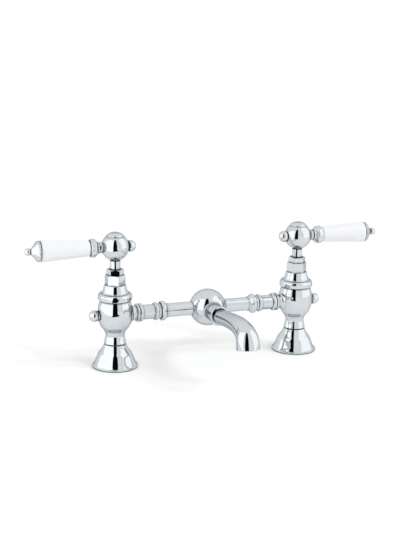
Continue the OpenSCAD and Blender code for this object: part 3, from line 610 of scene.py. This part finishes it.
def body_outline():
    """Foot over its groove, waist, bowl and rim; the valve chamber and the tail's socket inside."""
    outside = curve([
        [mix(FOOT_R, WAIST_R, 0.2), Z_FOOT + LOWER_H * 0.055],
        [mix(FOOT_R, WAIST_R, 0.61), Z_FOOT + LOWER_H * 0.18],
        [WAIST_R, Z_FOOT + LOWER_H * 0.294],
        [mix(WAIST_R, BOWL_R, 0.042), Z_FOOT + LOWER_H * 0.353],
        [mix(WAIST_R, BOWL_R, 0.188), Z_FOOT + LOWER_H * 0.4575],
        [mix(WAIST_R, BOWL_R, 0.382), Z_FOOT + LOWER_H * 0.526],
        [mix(WAIST_R, BOWL_R, 0.66), Z_FOOT + LOWER_H * 0.631],
        [mix(WAIST_R, BOWL_R, 0.89), Z_FOOT + LOWER_H * 0.784],
        [BOWL_R, Z_BRIDGE],
        [mix(BOWL_R, RIM_R, 0.09), Z_BRIDGE + UPPER_H * 0.4],
        [mix(BOWL_R, RIM_R, 0.4), Z_BRIDGE + UPPER_H * 0.69],
        [mix(BOWL_R, RIM_R, 0.7), Z_BRIDGE + UPPER_H * 0.87],
        [RIM_R, Z_RIM]], steps=10)
    return rounded([
        [SPIGOT_R + FIT_GAP, Z_FOOT],
        [FOOT_R - FOOT_GROOVE, Z_FOOT],
        [FOOT_R - FOOT_GROOVE, Z_FOOT + FOOT_GROOVE_H],
        [FOOT_R - 0.2, Z_FOOT + FOOT_GROOVE_H + 0.1],
        *outside,
        [COUNTER_R, Z_RIM],
        [COUNTER_R, Z_COUNTER],
        [CHAMBER_R, Z_COUNTER],
        [CHAMBER_R, Z_SEAT],
        [WAY_R, Z_SEAT],
        [WAY_R, Z_FOOT + SPIGOT_H + FIT_GAP],
        [SPIGOT_R + FIT_GAP, Z_FOOT + SPIGOT_H + FIT_GAP]], 0.25)


def boss_outline():
    """Boss to the bridge, with a fillet where it leaves the bowl."""
    root = CHAMBER_R + 1
    return rounded([
        [PORT_R, root],
        [SLEEVE_R + 2.2, root],
        [SLEEVE_R + 2.2, BOWL_R - 2.2],
        [SLEEVE_R + 0.9, BOWL_R - 1.0],
        [SLEEVE_R + 0.25, BOWL_R + 0.1],
        [SLEEVE_R, BOWL_R + 1.2],
        [SLEEVE_R, BOSS_END],
        [BOSS_THREAD_R, BOSS_END],
        [BOSS_THREAD_R, BOSS_END + BOSS_THREAD_LEN],
        [PORT_R, BOSS_END + BOSS_THREAD_LEN]], 0.2)


def tail_shell(where):
    """Tail with a helical thread, a relief and a smooth spigot."""
    around = angles(72)
    relief = -TAIL_LEN + FREE_LEN
    rows_per_turn, sunk = 8, 0.25

    def threaded(low, high):
        """Thread between two heights, which fades out over the millimetre at each end."""
        points = []
        for z in np.arange(low, high + 0.01, THREAD_PITCH / rows_per_turn):
            fade = np.clip(min(z - low, high - z), 0, 1)
            wave = 0.5 + 0.5 * np.cos(2 * math.pi * (z / THREAD_PITCH - around / (2 * math.pi)))
            points.append([TAIL_R - THREAD_DEPTH + THREAD_DEPTH * wave * fade - sunk * (1 - fade), z])
        return points

    points = [
        [TAIL_R - THREAD_DEPTH - 0.6, -TAIL_LEN],
        *threaded(-TAIL_LEN + 0.3, relief),
        [RELIEF_R, relief + 0.1],
        [RELIEF_R, relief + RELIEF_H - 0.1],
        *threaded(relief + RELIEF_H + 0.1, Z_FOOT - 0.8),
        [SPIGOT_R, Z_FOOT - 0.1],
        [SPIGOT_R, Z_FOOT + SPIGOT_H - 0.3],
        [SPIGOT_R - 0.3, Z_FOOT + SPIGOT_H],
        [TAIL_BORE_R + 0.3, Z_FOOT + SPIGOT_H],
        [TAIL_BORE_R, Z_FOOT + SPIGOT_H - 0.3],
        [TAIL_BORE_R, -TAIL_LEN + 0.4],
        [TAIL_BORE_R + 0.4, -TAIL_LEN]]
    return loft(rows_at(around, points), where)


def collar_outline():
    outside = curve([
        [COLLAR_R, Z_RIM + COLLAR_H * 0.58],
        [COLLAR_R - 0.5, Z_RIM + COLLAR_H * 0.78],
        [COLLAR_R - 1.6, Z_RIM + COLLAR_H * 0.94],
        [COLLAR_R - 3, Z_COLLAR]])
    return rounded([
        [COUNTER_R + FIT_GAP, Z_RIM],
        [COLLAR_R - 0.6, Z_RIM],
        [COLLAR_R, Z_RIM + 0.6],
        *outside,
        [COUNTER_R + FIT_GAP, Z_COLLAR]], 0.25)


def ring_outline(outer, inner, low, high):
    return rounded([[inner, low], [outer, low], [outer, high], [inner, high]], 0.3)


# Hexagons
def hex_columns(flats, turn, corner=0.35, along=14):
    """Angles round a hexagon with rounded corners, and its radius at each."""
    bends = 6
    half = flats / 2
    thirty = math.radians(30)
    edge = math.atan((half - corner) * math.tan(thirty) / half)
    local = [*np.linspace(-edge, edge, along, endpoint=False),
             *np.linspace(edge, 2 * thirty - edge, bends, endpoint=False)]
    centre = (half - corner) / math.cos(thirty)
    around, radius = [], []
    for k in range(6):
        # the flats face -Y before the turn, as in the part's source
        base = math.radians(-90 + 60 * k - turn)
        for a in local:
            around.append(base + a)
            if a <= edge:
                radius.append(half / math.cos(a))
            else:
                off = a - thirty
                across = centre * math.sin(off)
                radius.append(centre * math.cos(off) + math.sqrt(corner ** 2 - across ** 2))
    return np.array(around), np.array(radius)


def hex_top(radius, flats, top):
    """Points over the turned-off corners of a hexagon, from its sides to the flat ring on top."""
    corner = flats / math.sqrt(3)
    cut = corner - flats / 2 + 0.2
    rise = cut * 0.6
    ring = corner - cut
    lip = 0.25
    edge = top - rise * np.clip((radius - ring) / cut, 0, 1)
    return [
        [radius, edge - lip],
        [radius - 0.03, edge - lip * 0.35],
        [radius - 0.12, edge - 0.02],
        [mix(radius, ring, 0.3), mix(edge, top, 0.3)],
        [mix(radius, ring, 0.85), mix(edge, top, 0.85)],
        [ring - 0.1, top - 0.01],
        [ring - 0.45, top]]


def soft_max(a, b, width):
    """The larger of two values, with a fillet of the width where they cross."""
    share = np.clip(0.5 + 0.5 * (a - b) / width, 0, 1)
    return b + (a - b) * share + width * share * (1 - share)


def bonnet_shell(turn, where):
    """Flared skirt whose shoulder runs into the hexagon through a fillet."""
    half = BONNET_FLATS / 2
    shoulder = Z_HEX + 0.6
    skirt = np.array(curve([
        [SKIRT_R - 0.1, Z_COLLAR + SKIRT_H * 0.06],
        [SKIRT_R - 0.8, Z_COLLAR + SKIRT_H * 0.14],
        [SKIRT_R - 1.3, Z_COLLAR + SKIRT_H * 0.32],
        [SKIRT_R - 1.85, Z_COLLAR + SKIRT_H * 0.5],
        [SKIRT_R - 2.25, Z_COLLAR + SKIRT_H * 0.69],
        [half + 2.15, Z_COLLAR + SKIRT_H * 0.87],
        [half + 1.9, Z_HEX - 0.1],
        [half + 1.5, Z_HEX + 0.2],
        [half + 0.7, Z_HEX + 0.45],
        [half - 0.1, shoulder]], steps=12))
    around, radius = hex_columns(BONNET_FLATS, turn, along=22)
    points = [
        [BONNET_THREAD_R, Z_BONNET_FOOT],
        [BONNET_THREAD_R, Z_COLLAR],
        [SKIRT_R - 0.2, Z_COLLAR],
        [SKIRT_R, Z_COLLAR + 0.12]]
    points += [[r, z] for r, z in skirt if r > half + 1.95]
    for z in np.arange(Z_HEX - 0.08, Z_HEX + 1, 0.06):
        # above the shoulder the skirt falls away steeply inside the hexagon
        cone = np.interp(z, skirt[:, 1], skirt[:, 0]) - max(0.0, z - shoulder) * 4
        points.append([soft_max(cone, radius, 0.3), z])
    points += hex_top(radius, BONNET_FLATS, Z_GLAND)
    points += [
        [GLAND_THREAD_R, Z_GLAND],
        [GLAND_THREAD_R, Z_GLAND - GLAND_POCKET_H],
        [SPINDLE_BORE_R + FIT_GAP, Z_GLAND - GLAND_POCKET_H],
        [SPINDLE_BORE_R + FIT_GAP, Z_BONNET_WALL],
        [BONNET_BORE_R, Z_BONNET_WALL],
        [BONNET_BORE_R, Z_BONNET_FOOT]]
    return loft(rows_at(around, points), where)


def gland_shell(turn, where):
    around, radius = hex_columns(GLAND_FLATS, turn)
    top = Z_GLAND + GLAND_HEX_H
    foot = Z_GLAND - GLAND_POCKET_H + GLAND_RING_H
    points = [
        [GLAND_THREAD_R - FIT_GAP, Z_GLAND],
        [radius - 0.25, Z_GLAND],
        [radius, Z_GLAND + 0.2],
        *hex_top(radius, GLAND_FLATS, top),
        [SPINDLE_BORE_R + 0.3, top],
        [SPINDLE_BORE_R, top - 0.3],
        [SPINDLE_BORE_R, foot],
        [GLAND_THREAD_R - FIT_GAP, foot]]
    return loft(rows_at(around, points), where)


def backnut_shell(where):
    around, radius = hex_columns(BACKNUT_FLATS, 0, corner=0.6, along=12)
    high = -DECK_T - WASHER_T
    low = high - BACKNUT_H
    over = hex_top(radius, BACKNUT_FLATS, high)
    under = [[r, low + high - z] for r, z in reversed(over)]
    points = [
        [TAIL_R, low + 0.4],
        [TAIL_R + 0.5, low],
        *under,
        *over,
        [TAIL_R + 0.5, high],
        [TAIL_R, high - 0.4]]
    return loft(rows_at(around, points), where)


# Levers
def neck_outline():
    return rounded([
        [SPINDLE_BORE_R, Z_NECK],
        [NECK_R, Z_NECK],
        [NECK_R, Z_HUB_SEAT - 0.7],
        [HUB_SEAT_R, Z_HUB_SEAT],
        [SPINDLE_BORE_R, Z_HUB_SEAT]], 0.25)


def hub_outline():
    seat = Z_HUB_SEAT - Z_LEVER
    points = rounded([
        [SPINDLE_BORE_R, seat],
        *arc(HUB_R, seat, HUB_TOP, steps=64),
        [CAP_SPIGOT_R + FIT_GAP, HUB_TOP],
        [CAP_SPIGOT_R + FIT_GAP, HUB_TOP - CAP_SPIGOT_H],
        [SPINDLE_BORE_R, HUB_TOP - CAP_SPIGOT_H]], 0.15)
    return [[r, z + Z_LEVER] for r, z in points]


def cap_outline():
    seam = Z_LEVER + HUB_TOP
    seam_r = math.sqrt(HUB_R ** 2 - HUB_TOP ** 2)
    outside = curve([
        [mix(seam_r, CAP_TOP_R, 0.05), seam + CAP_H * 0.14],
        [mix(seam_r, CAP_TOP_R, 0.13), seam + CAP_H * 0.32],
        [mix(seam_r, CAP_TOP_R, 0.41), seam + CAP_H * 0.66],
        [mix(seam_r, CAP_TOP_R, 0.75), seam + CAP_H * 0.9],
        [CAP_TOP_R, seam + CAP_H]])
    return rounded([
        [0, seam - CAP_SPIGOT_H + 0.3],
        [CAP_SPIGOT_R, seam - CAP_SPIGOT_H + 0.3],
        [CAP_SPIGOT_R, seam],
        [seam_r - 1, seam],
        [seam_r - 1, seam + 0.4],
        [seam_r - 0.1, seam + 0.45],
        *outside,
        [0, seam + CAP_H]], 0.15, shaded=False)


def lever_collar_outline():
    """Bead and waist at the hub, then a flared cup that holds the grip."""
    bead_r, waist_r = 5.2, 6.2
    cup = GRIP_START - GRIP_WASHER_T
    return rounded([
        [ROD_R + FIT_GAP, LEVER_SEAT],
        [bead_r, LEVER_SEAT],
        *curve([
            [bead_r, LEVER_SEAT + 0.4],
            [bead_r + 0.4, LEVER_SEAT + 2.2],
            [bead_r, LEVER_SEAT + 3.8]]),
        [waist_r, LEVER_SEAT + 4.2],
        [waist_r, GRIP_START - 5.7],
        *curve([
            [waist_r + 0.4, GRIP_START - 5.2],
            [FERRULE_R - 1.05, GRIP_START - 3.9],
            [FERRULE_R, GRIP_START - 2.6],
            [FERRULE_R, GRIP_START + 1.2]]),
        [FERRULE_R - 0.4, GRIP_START + GRIP_SPIGOT_H],
        [GRIP_SPIGOT_R + FIT_GAP, GRIP_START + GRIP_SPIGOT_H],
        [GRIP_SPIGOT_R + FIT_GAP, cup],
        [ROD_R + FIT_GAP, cup]], 0.25)


def grip_outline():
    """Spigot in the collar, rounded root, straight swell and rounded outer end."""
    start = GRIP_START + GRIP_SPIGOT_H
    swell_start, swell_end = start + 3, GRIP_END - 3.5
    return rounded([
        [ROD_R + 0.2, GRIP_START],
        [GRIP_SPIGOT_R, GRIP_START],
        [GRIP_SPIGOT_R, start],
        *curve([
            [GRIP_SPIGOT_R + 0.5, start],
            [GRIP_ROOT_R - 0.6, start + 1.4],
            [GRIP_ROOT_R, swell_start]]),
        [mix(GRIP_ROOT_R, GRIP_R, 0.5), mix(swell_start, swell_end, 0.52)],
        [mix(GRIP_ROOT_R, GRIP_R, 0.96), swell_end],
        *curve([
            [GRIP_R, GRIP_END - 1.8],
            [GRIP_R - 0.25, GRIP_END - 0.8],
            [GRIP_R - 0.8, GRIP_END - 0.2],
            [GRIP_R - 1.5, GRIP_END]]),
        [ROD_R + 0.2, GRIP_END]], 0.3)


def end_cap_outline():
    """Disc with a groove round it, a dome and a ball at the tip."""
    ball = CAP_START + END_CAP_LEN - TIP_R
    low, neck = ball - 2.7, TIP_R - 0.5
    dome = low - CAP_START

    def at_dome(radius, share):
        return [radius, CAP_START + dome * share]

    start = math.asin(math.sqrt(TIP_R ** 2 - 2.5 ** 2) / TIP_R)
    return rounded([
        [ROD_R + FIT_GAP, CAP_START],
        [END_DISC_R - 0.5, CAP_START],
        [END_DISC_R, CAP_START + 0.6],
        at_dome(END_DISC_R, 0.14),
        at_dome(END_DISC_R - 0.25, 0.175),
        at_dome(END_DISC_R, 0.21),
        *curve([
            at_dome(END_DISC_R, 0.264),
            at_dome(mix(neck, END_DISC_R, 0.932), 0.34),
            at_dome(mix(neck, END_DISC_R, 0.784), 0.46),
            at_dome(mix(neck, END_DISC_R, 0.514), 0.615),
            at_dome(mix(neck, END_DISC_R, 0.257), 0.79),
            at_dome(neck, 1)]),
        *ball_points(TIP_R, ball, start, steps=24),
        [0, ball + TIP_R]], 0.15, shaded=False)


def finial_outline(seat, flange, centre):
    """A flange, a groove and the ball behind it."""
    back = seat + flange + FINIAL_GROOVE
    start = math.acos((centre - back) / FINIAL_R)
    return rounded([
        [0, seat],
        [FINIAL_FLANGE_R, seat],
        [FINIAL_FLANGE_R, seat + flange],
        [FINIAL_NECK_R, seat + flange],
        [FINIAL_NECK_R, back],
        *ball_points(FINIAL_R, centre, start, steps=40),
        [0, centre + FINIAL_R]], 0.12, shaded=False)


# Bridge
def union_outline():
    """Two rounded beads over the boss's thread and the sleeve's flange."""
    bead = UNION_LEN / 2
    end = BOSS_END + 2 * bead
    inner = SLEEVE_START + UNION_FLANGE_T
    return rounded([
        [BOSS_THREAD_R, BOSS_END],
        *curve([
            [UNION_R - 1.2, BOSS_END],
            [UNION_R - 0.2, BOSS_END + 0.5],
            [UNION_R, BOSS_END + bead * 0.42],
            [UNION_R - 0.2, BOSS_END + bead - 1],
            [UNION_R - 1, BOSS_END + bead - 0.55]]),
        *curve([
            [UNION_R - 1, BOSS_END + bead - 0.45],
            [UNION_R - 0.2, BOSS_END + bead],
            [UNION_R, BOSS_END + bead * 1.5],
            [UNION_R - 0.3, end - 0.7],
            [UNION_R - 1.4, end]]),
        [SLEEVE_R + FIT_GAP, end],
        [SLEEVE_R + FIT_GAP, inner],
        [BOSS_THREAD_R, inner]], 0.15)


def sleeve_outline():
    """Flange in the union, the plain length, a rounded ring and the thread for the arm's nut."""
    flange_r = BOSS_THREAD_R - FIT_GAP
    flange_end = SLEEVE_START + UNION_FLANGE_T
    ring_end = SLEEVE_RING + SLEEVE_RING_LEN
    return rounded([
        [ARM_WAY_R, SLEEVE_START],
        [flange_r, SLEEVE_START],
        [flange_r, flange_end],
        [SLEEVE_R, flange_end],
        [SLEEVE_R, SLEEVE_RING],
        *curve([
            [SLEEVE_RING_R - 1, SLEEVE_RING],
            [SLEEVE_RING_R - 0.15, SLEEVE_RING + 0.6],
            [SLEEVE_RING_R, SLEEVE_RING + SLEEVE_RING_LEN / 2],
            [SLEEVE_RING_R - 0.15, ring_end - 0.6],
            [SLEEVE_RING_R - 1, ring_end]]),
        [SLEEVE_THREAD_R, ring_end],
        [SLEEVE_THREAD_R, SLEEVE_END],
        [ARM_BORE_R + FIT_GAP, SLEEVE_END],
        [ARM_BORE_R + FIT_GAP, SLEEVE_END - SLIDE_LEN],
        [ARM_WAY_R, SLEEVE_END - SLIDE_LEN]], 0.2)


def arm_nut_outline():
    """Gland nut with a conical shoulder down to the tube."""
    wall = SLEEVE_END + ARM_ORING_T
    return rounded([
        [SLEEVE_THREAD_R, ARM_NUT_START],
        [ARM_NUT_R - 0.6, ARM_NUT_START],
        *curve([
            [ARM_NUT_R, ARM_NUT_START + 0.6],
            [ARM_NUT_R, ARM_NUT_START + 3.2],
            [ARM_NUT_R - 0.9, ARM_NUT_START + 4.6],
            [SLEEVE_R + 0.2, ARM_NUT_START + 6]]),
        [SLEEVE_R, ARM_NUT_START + 6.2],
        [SLEEVE_R, ARM_NUT_START + ARM_NUT_LEN],
        [TUBE_R + FIT_GAP, ARM_NUT_START + ARM_NUT_LEN],
        [TUBE_R + FIT_GAP, wall],
        [SLEEVE_THREAD_R, wall]], 0.2)


def tube_outline():
    slide = SLEEVE_END - SLIDE_LEN + 3
    return rounded([
        [ARM_WAY_R, slide],
        [ARM_BORE_R, slide],
        [ARM_BORE_R, SLEEVE_END],
        [TUBE_R, SLEEVE_END],
        [TUBE_R, TUBE_END],
        [ARM_WAY_R, TUBE_END]], 0.2)


def make_pillar(hand, side):
    """All pieces of one pillar, its lever and its half of the bridge."""
    upright = place(side)
    lever_out = place(side, Z_LEVER, 1)
    lever_back = place(side, Z_LEVER, -1)
    inward = place(side, Z_BRIDGE, -1)
    fixed, moving = "fixed_tap", f"{hand}_lever"
    hub_knob = finial_outline(FINIAL_SEAT, 0.3, HUB_R + 1.5)
    piece(f"{hand}_bell", fixed, f"{hand}_base_bell", [lathe(bell_outline(), upright, LARGE)])
    piece(f"{hand}_body", fixed, f"{hand}_pillar_body",
          [lathe(body_outline(), upright, LARGE), lathe(boss_outline(), inward)])
    piece(f"{hand}_tail", fixed, f"{hand}_inlet_tail", [tail_shell(upright)], "raw_brass")
    piece(f"{hand}_collar", fixed, f"{hand}_collar_ring", [lathe(collar_outline(), upright, LARGE)])
    piece(f"{hand}_valve_head", fixed, f"{hand}_bonnet", [bonnet_shell(BONNET_TURN[hand], upright)])
    piece(f"{hand}_gland", fixed, f"{hand}_gland_nut", [gland_shell(GLAND_TURN[hand], upright)])
    piece(f"{hand}_neck", moving, f"{hand}_hub_neck", [lathe(neck_outline(), upright)])
    piece(f"{hand}_hub", moving, f"{hand}_lever_hub", [lathe(hub_outline(), upright, LARGE)])
    piece(f"{hand}_cap", moving, f"{hand}_index_cap",
          [lathe(cap_outline(), upright, MIDDLING, wrap=False)])
    piece(f"{hand}_ferrule", moving, f"{hand}_lever_collar", [lathe(lever_collar_outline(), lever_out)])
    piece(f"{hand}_grip", moving, f"{hand}_lever_grip", [lathe(grip_outline(), lever_out, MIDDLING)],
          "white_porcelain")
    piece(f"{hand}_tip", moving, f"{hand}_lever_end_cap",
          [lathe(end_cap_outline(), lever_out, wrap=False)])
    piece(f"{hand}_hub_knob", moving, f"{hand}_hub_finial", [lathe(hub_knob, lever_back, wrap=False)])
    piece(f"{hand}_sleeve", fixed, f"{hand}_arm_sleeve", [lathe(sleeve_outline(), inward)])
    piece(f"{hand}_tube", fixed, f"{hand}_arm_tube", [lathe(tube_outline(), inward)])


def make_pairs():
    """Pieces that come in a pair and share a node."""
    fixed = "fixed_tap"
    upright = [place(side) for side in SIDES.values()]
    outward = [place(side, Z_BRIDGE, 1) for side in SIDES.values()]
    inward = [place(side, Z_BRIDGE, -1) for side in SIDES.values()]
    knob = finial_outline(BOWL_R - 0.9, 1.3, BOWL_R + 3.5)
    gasket = ring_outline(GASKET_R, GASKET_IN, 0, GASKET_T)
    washer = ring_outline(WASHER_R, TAIL_R + 0.2, -DECK_T - WASHER_T, -DECK_T)
    piece("side_knobs", fixed, "side_finials", [lathe(knob, here, wrap=False) for here in outward])
    piece("unions", fixed, "union_nuts", [lathe(union_outline(), here) for here in inward])
    piece("arm_glands", fixed, "arm_nuts", [lathe(arm_nut_outline(), here) for here in inward])
    piece("gaskets", fixed, "base_gaskets", [lathe(gasket, here) for here in upright], "black_rubber")
    piece("deck_washers", fixed, "clamp_washers", [lathe(washer, here) for here in upright],
          "black_rubber")
    piece("nuts", fixed, "backnuts", [backnut_shell(here) for here in upright], "raw_brass")


# Ball, ring and spout
def ball_outline():
    socket = HALF - TUBE_END
    socket_r = TUBE_R + FIT_GAP
    mouth = math.sqrt(BALL_R ** 2 - socket_r ** 2)
    cavity = math.sqrt(CAVITY_R ** 2 - ARM_WAY_R ** 2)
    return rounded([
        [socket_r, -socket],
        [socket_r, -mouth],
        *arc(BALL_R, -mouth, mouth, steps=72)[1:-1],
        [socket_r, mouth],
        [socket_r, socket],
        [ARM_WAY_R, socket],
        *reversed(arc(CAVITY_R, -cavity, cavity, steps=24)),
        [ARM_WAY_R, -socket]], 0.25)


def neck_root_outline():
    """Neck of the spout, with a fillet that touches the ball and the neck."""
    fillet, sunk = 1.3, 0.25
    centre_r = SPOUT_NECK_R + fillet
    centre_y = math.sqrt((BALL_R + fillet) ** 2 - centre_r ** 2)
    share = BALL_R / (BALL_R + fillet)
    touch = math.atan2(centre_r * (1 - share), centre_y * (1 - share))
    bend = [[centre_r - fillet * math.cos(t), centre_y - fillet * math.sin(t)]
            for t in np.linspace(math.pi / 2 - touch, 0, 8)]
    return rounded([
        [SPOUT_WAY_R, CAVITY_R + 1],
        [SPOUT_SPIGOT_R, CAVITY_R + 1],
        [centre_r * share - sunk, centre_y * share - sunk],
        *bend,
        [SPOUT_NECK_R, NECK_END],
        [SPOUT_SPIGOT_R + FIT_GAP, NECK_END],
        [SPOUT_SPIGOT_R + FIT_GAP, SPOUT_SOCKET],
        [SPOUT_WAY_R, SPOUT_SOCKET]], 0.2)


def spout_ring_outline():
    return rounded([
        [SPOUT_SPIGOT_R + FIT_GAP, NECK_END],
        *curve([
            [SPOUT_RING_R - 1, NECK_END],
            [SPOUT_RING_R - 0.2, NECK_END + 0.7],
            [SPOUT_RING_R, NECK_END + 1.75],
            [SPOUT_RING_R - 0.2, RING_END - 0.7],
            [SPOUT_RING_R - 1.1, RING_END]]),
        [SPOUT_SPIGOT_R + FIT_GAP, RING_END]], 0.15)


def spout_shell():
    """Spout swept along its line and cut at its outlet, drawn from there with +Z up into the spout."""
    steps, sides, behind = 14, 72, 20
    tilt = math.radians(OUTLET_TILT)
    root = RING_END + SHANK_LEN * 0.75
    stations = [[-mix(root, SPOUT_REACH, a), Z_BRIDGE + b * (SPOUT_RISE if b > 0 else OUTLET_DROP)]
                for a, b in SPOUT_LINE]
    y, z = stations[-1]
    stations.append([y - SPOUT_PAST * math.sin(tilt), z - SPOUT_PAST * math.cos(tilt)])
    line = np.array(curve(stations, steps))
    radii = np.array(curve([[mix(SPOUT_ROOT_R, SPOUT_END_R, t), 0] for t in SPOUT_SWELL], steps))[:, 0]
    cosine, sine = np.cos(angles(sides)), np.sin(angles(sides))

    def row_at(centre, heading, r):
        """Row of radius r round a point of the line, square to its heading, in the outlet's axes."""
        y = centre[0] - r * sine * heading[1] + SPOUT_REACH
        z = centre[1] + r * sine * heading[0] - Z_BRIDGE + OUTLET_DROP
        return np.stack([r * cosine, y * math.cos(tilt) - z * math.sin(tilt),
                         y * math.sin(tilt) + z * math.cos(tilt)], 1)

    def swept(radii):
        rows = []
        for i, r in enumerate(radii):
            heading = line[min(i + 1, len(line) - 1)] - line[max(i - 1, 0)]
            rows.append(row_at(line[i], heading / np.linalg.norm(heading), r))
        return rows

    def above(rows, height):
        return [row for row in rows if row[:, 2].min() > height or row[0, 1] > behind]

    def root_row(r):
        return row_at([-RING_END, Z_BRIDGE], [1, 0], r)

    skin = swept(radii)
    kept = above(skin, 0.15)
    # the lines of the skin are cut where they pass the outlet's plane
    crossing = np.array([kept[-1], *skin[len(kept):]])[::-1]
    rim = np.array([[np.interp(0, crossing[:, j, 2], crossing[:, j, k]) for k in (0, 1)]
                    for j in range(sides)])
    angle, reach = np.arctan2(rim[:, 1], rim[:, 0]), np.linalg.norm(rim, axis=1)
    bore = SPOUT_END_R - SPOUT_WALL + 0.1
    outlet = rows_at(angle, [
        [reach - 0.02, 0.32],
        [reach - 0.1, 0.12],
        [reach - 0.3, 0],
        [bore + 0.3, 0],
        [bore + 0.05, 0.15],
        [bore, 0.4],
        [bore, OUTLET_BORE_H]])
    lining = reversed(above(swept(radii - SPOUT_WALL), OUTLET_BORE_H + 0.4))
    rows = [root_row(SPOUT_ROOT_R), *kept, *outlet, *lining, root_row(SPOUT_ROOT_R - SPOUT_WALL)]
    outlet_centre = Matrix.Translation((0, -SPOUT_REACH, Z_BRIDGE - OUTLET_DROP))
    return loft(rows, outlet_centre @ Matrix.Rotation(-tilt, 4, "X"))


def make_middle():
    """Ball between the tubes, ring and spout."""
    centre = Matrix.Translation((0, 0, Z_BRIDGE))
    forward = centre @ Matrix.Rotation(math.radians(90), 4, "X")
    along_x = centre @ Matrix.Rotation(math.radians(90), 4, "Y")
    piece("ball", "fixed_tap", "mixer_ball",
          [lathe(ball_outline(), along_x, LARGE), lathe(neck_root_outline(), forward, MIDDLING)])
    piece("ring", "fixed_tap", "spout_ring", [lathe(spout_ring_outline(), forward, MIDDLING)])
    piece("spout_tube", "fixed_tap", "spout", [spout_shell()])


for hand, side in SIDES.items():
    make_pillar(hand, side)
make_pairs()
make_middle()


# Studio: a white floor and surround, two soft panels, and the dark gap between them in reflections
def stage_plane(name, corners, material):
    mesh = bpy.data.meshes.new(name)
    mesh.from_pydata(corners, [], [(0, 1, 2, 3)])
    mesh.materials.append(material)
    obj = bpy.data.objects.new(name, mesh)
    bpy.context.scene.collection.objects.link(obj)
    return obj


def make_floor():
    half = 40
    floor = Surface("floor")
    floor.tint(floor.noise(scale=6), (0.93, 0.93, 0.93), (0.95, 0.95, 0.95))
    floor.set("Roughness", 0.9)
    floor.set("Specular IOR Level", 0.0)
    floor.set("Emission Color", (1, 1, 1, 1))
    glow = share_seen(floor.nodes, floor.links, 0.0, FLOOR_GLOW)
    floor.links.new(glow, floor.shader.inputs["Emission Strength"])
    corners = [(-half, -half, 0), (half, -half, 0), (half, half, 0), (-half, half, 0)]
    stage_plane("floor", corners, floor.material)


def make_gap():
    """Dark strip that only reflections see: upright, and on the floor in front of the tap."""
    dark = Surface("gap")
    dark.tint(dark.noise(scale=6), (0.003, 0.003, 0.003), (0.005, 0.005, 0.005))
    dark.set("Roughness", 1.0)
    dark.set("Specular IOR Level", 0.0)
    half_width, nearest, height, clear = 0.128, 0.285, 1.2, 0.001
    centre = Vector((-0.204, -0.419, 0))
    away = centre.normalized()
    across = Vector((away.y, -away.x, 0)) * half_width
    near = away * nearest
    low, high = centre - across, centre + across
    top = Vector((0, 0, height))
    lift = Vector((0, 0, clear))
    upright = [low + lift, high + lift, high + top, low + top]
    flat = [near - across + lift, near + across + lift, high + lift, low + lift]
    for name, corners in (("gap_upright", upright), ("gap_floor", flat)):
        obj = stage_plane(name, [tuple(c) for c in corners], dark.material)
        obj.visible_camera = False
        obj.visible_diffuse = False
        obj.visible_shadow = False
        obj.visible_transmission = False


def make_world():
    world = bpy.data.worlds.new("studio")
    bpy.context.scene.world = world
    world.use_nodes = True
    nodes, links = world.node_tree.nodes, world.node_tree.links
    background = nodes["Background"]
    background.inputs["Color"].default_value = (1, 1, 1, 1)
    links.new(share_seen(nodes, links, SKY, 1.0), background.inputs["Strength"])


def add_light(name, data, axis, direction):
    """Light whose axis points in a direction, out of the camera's sight."""
    obj = bpy.data.objects.new(name, data)
    bpy.context.scene.collection.objects.link(obj)
    obj.rotation_mode = "QUATERNION"
    obj.rotation_quaternion = Vector(direction).to_track_quat(axis, "Y")
    obj.visible_camera = False
    return obj


def panel(name, start, end, low, high, radiance):
    """Upright panel between two points of the floor that only reflections see; it adds a radiance."""
    start, end = Vector((*start, 0)), Vector((*end, 0))
    along = end - start
    middle = (start + end) / 2
    facing = Vector((along.y, -along.x, 0)).normalized()
    if facing.dot(middle) > 0:
        facing = -facing
    width, height = along.length, high - low
    data = bpy.data.lights.new(name, "AREA")
    data.shape = "RECTANGLE"
    data.size, data.size_y = width, height
    data.energy = radiance * math.pi * width * height
    obj = add_light(name, data, "-Z", facing)
    obj.location = (middle.x, middle.y, (low + high) / 2)
    obj.visible_diffuse = False


def sun(name, direction, share, spread):
    """Soft sun from a direction, with its share of a plain level on a face turned to it."""
    data = bpy.data.lights.new(name, "SUN")
    data.energy = share * math.pi
    data.angle = math.radians(spread)
    obj = add_light(name, data, "Z", direction)
    obj.visible_glossy = False


make_floor()
make_gap()
make_world()
panel("panel_left", start=(-0.213, -0.196), end=(-1.036, 0.656), low=0.02, high=0.54, radiance=0.5)
panel("panel_right", start=(0.5, -0.75), end=(1.1, 0.15), low=0.02, high=1.7, radiance=0.38)
sun("sun_front", direction=(0.527, -0.6, 0.6), share=0.185, spread=8)
sun("sun_right", direction=(0.736, -0.312, 0.6), share=0.165, spread=12)
bpy.context.scene.view_settings.view_transform = "Standard"
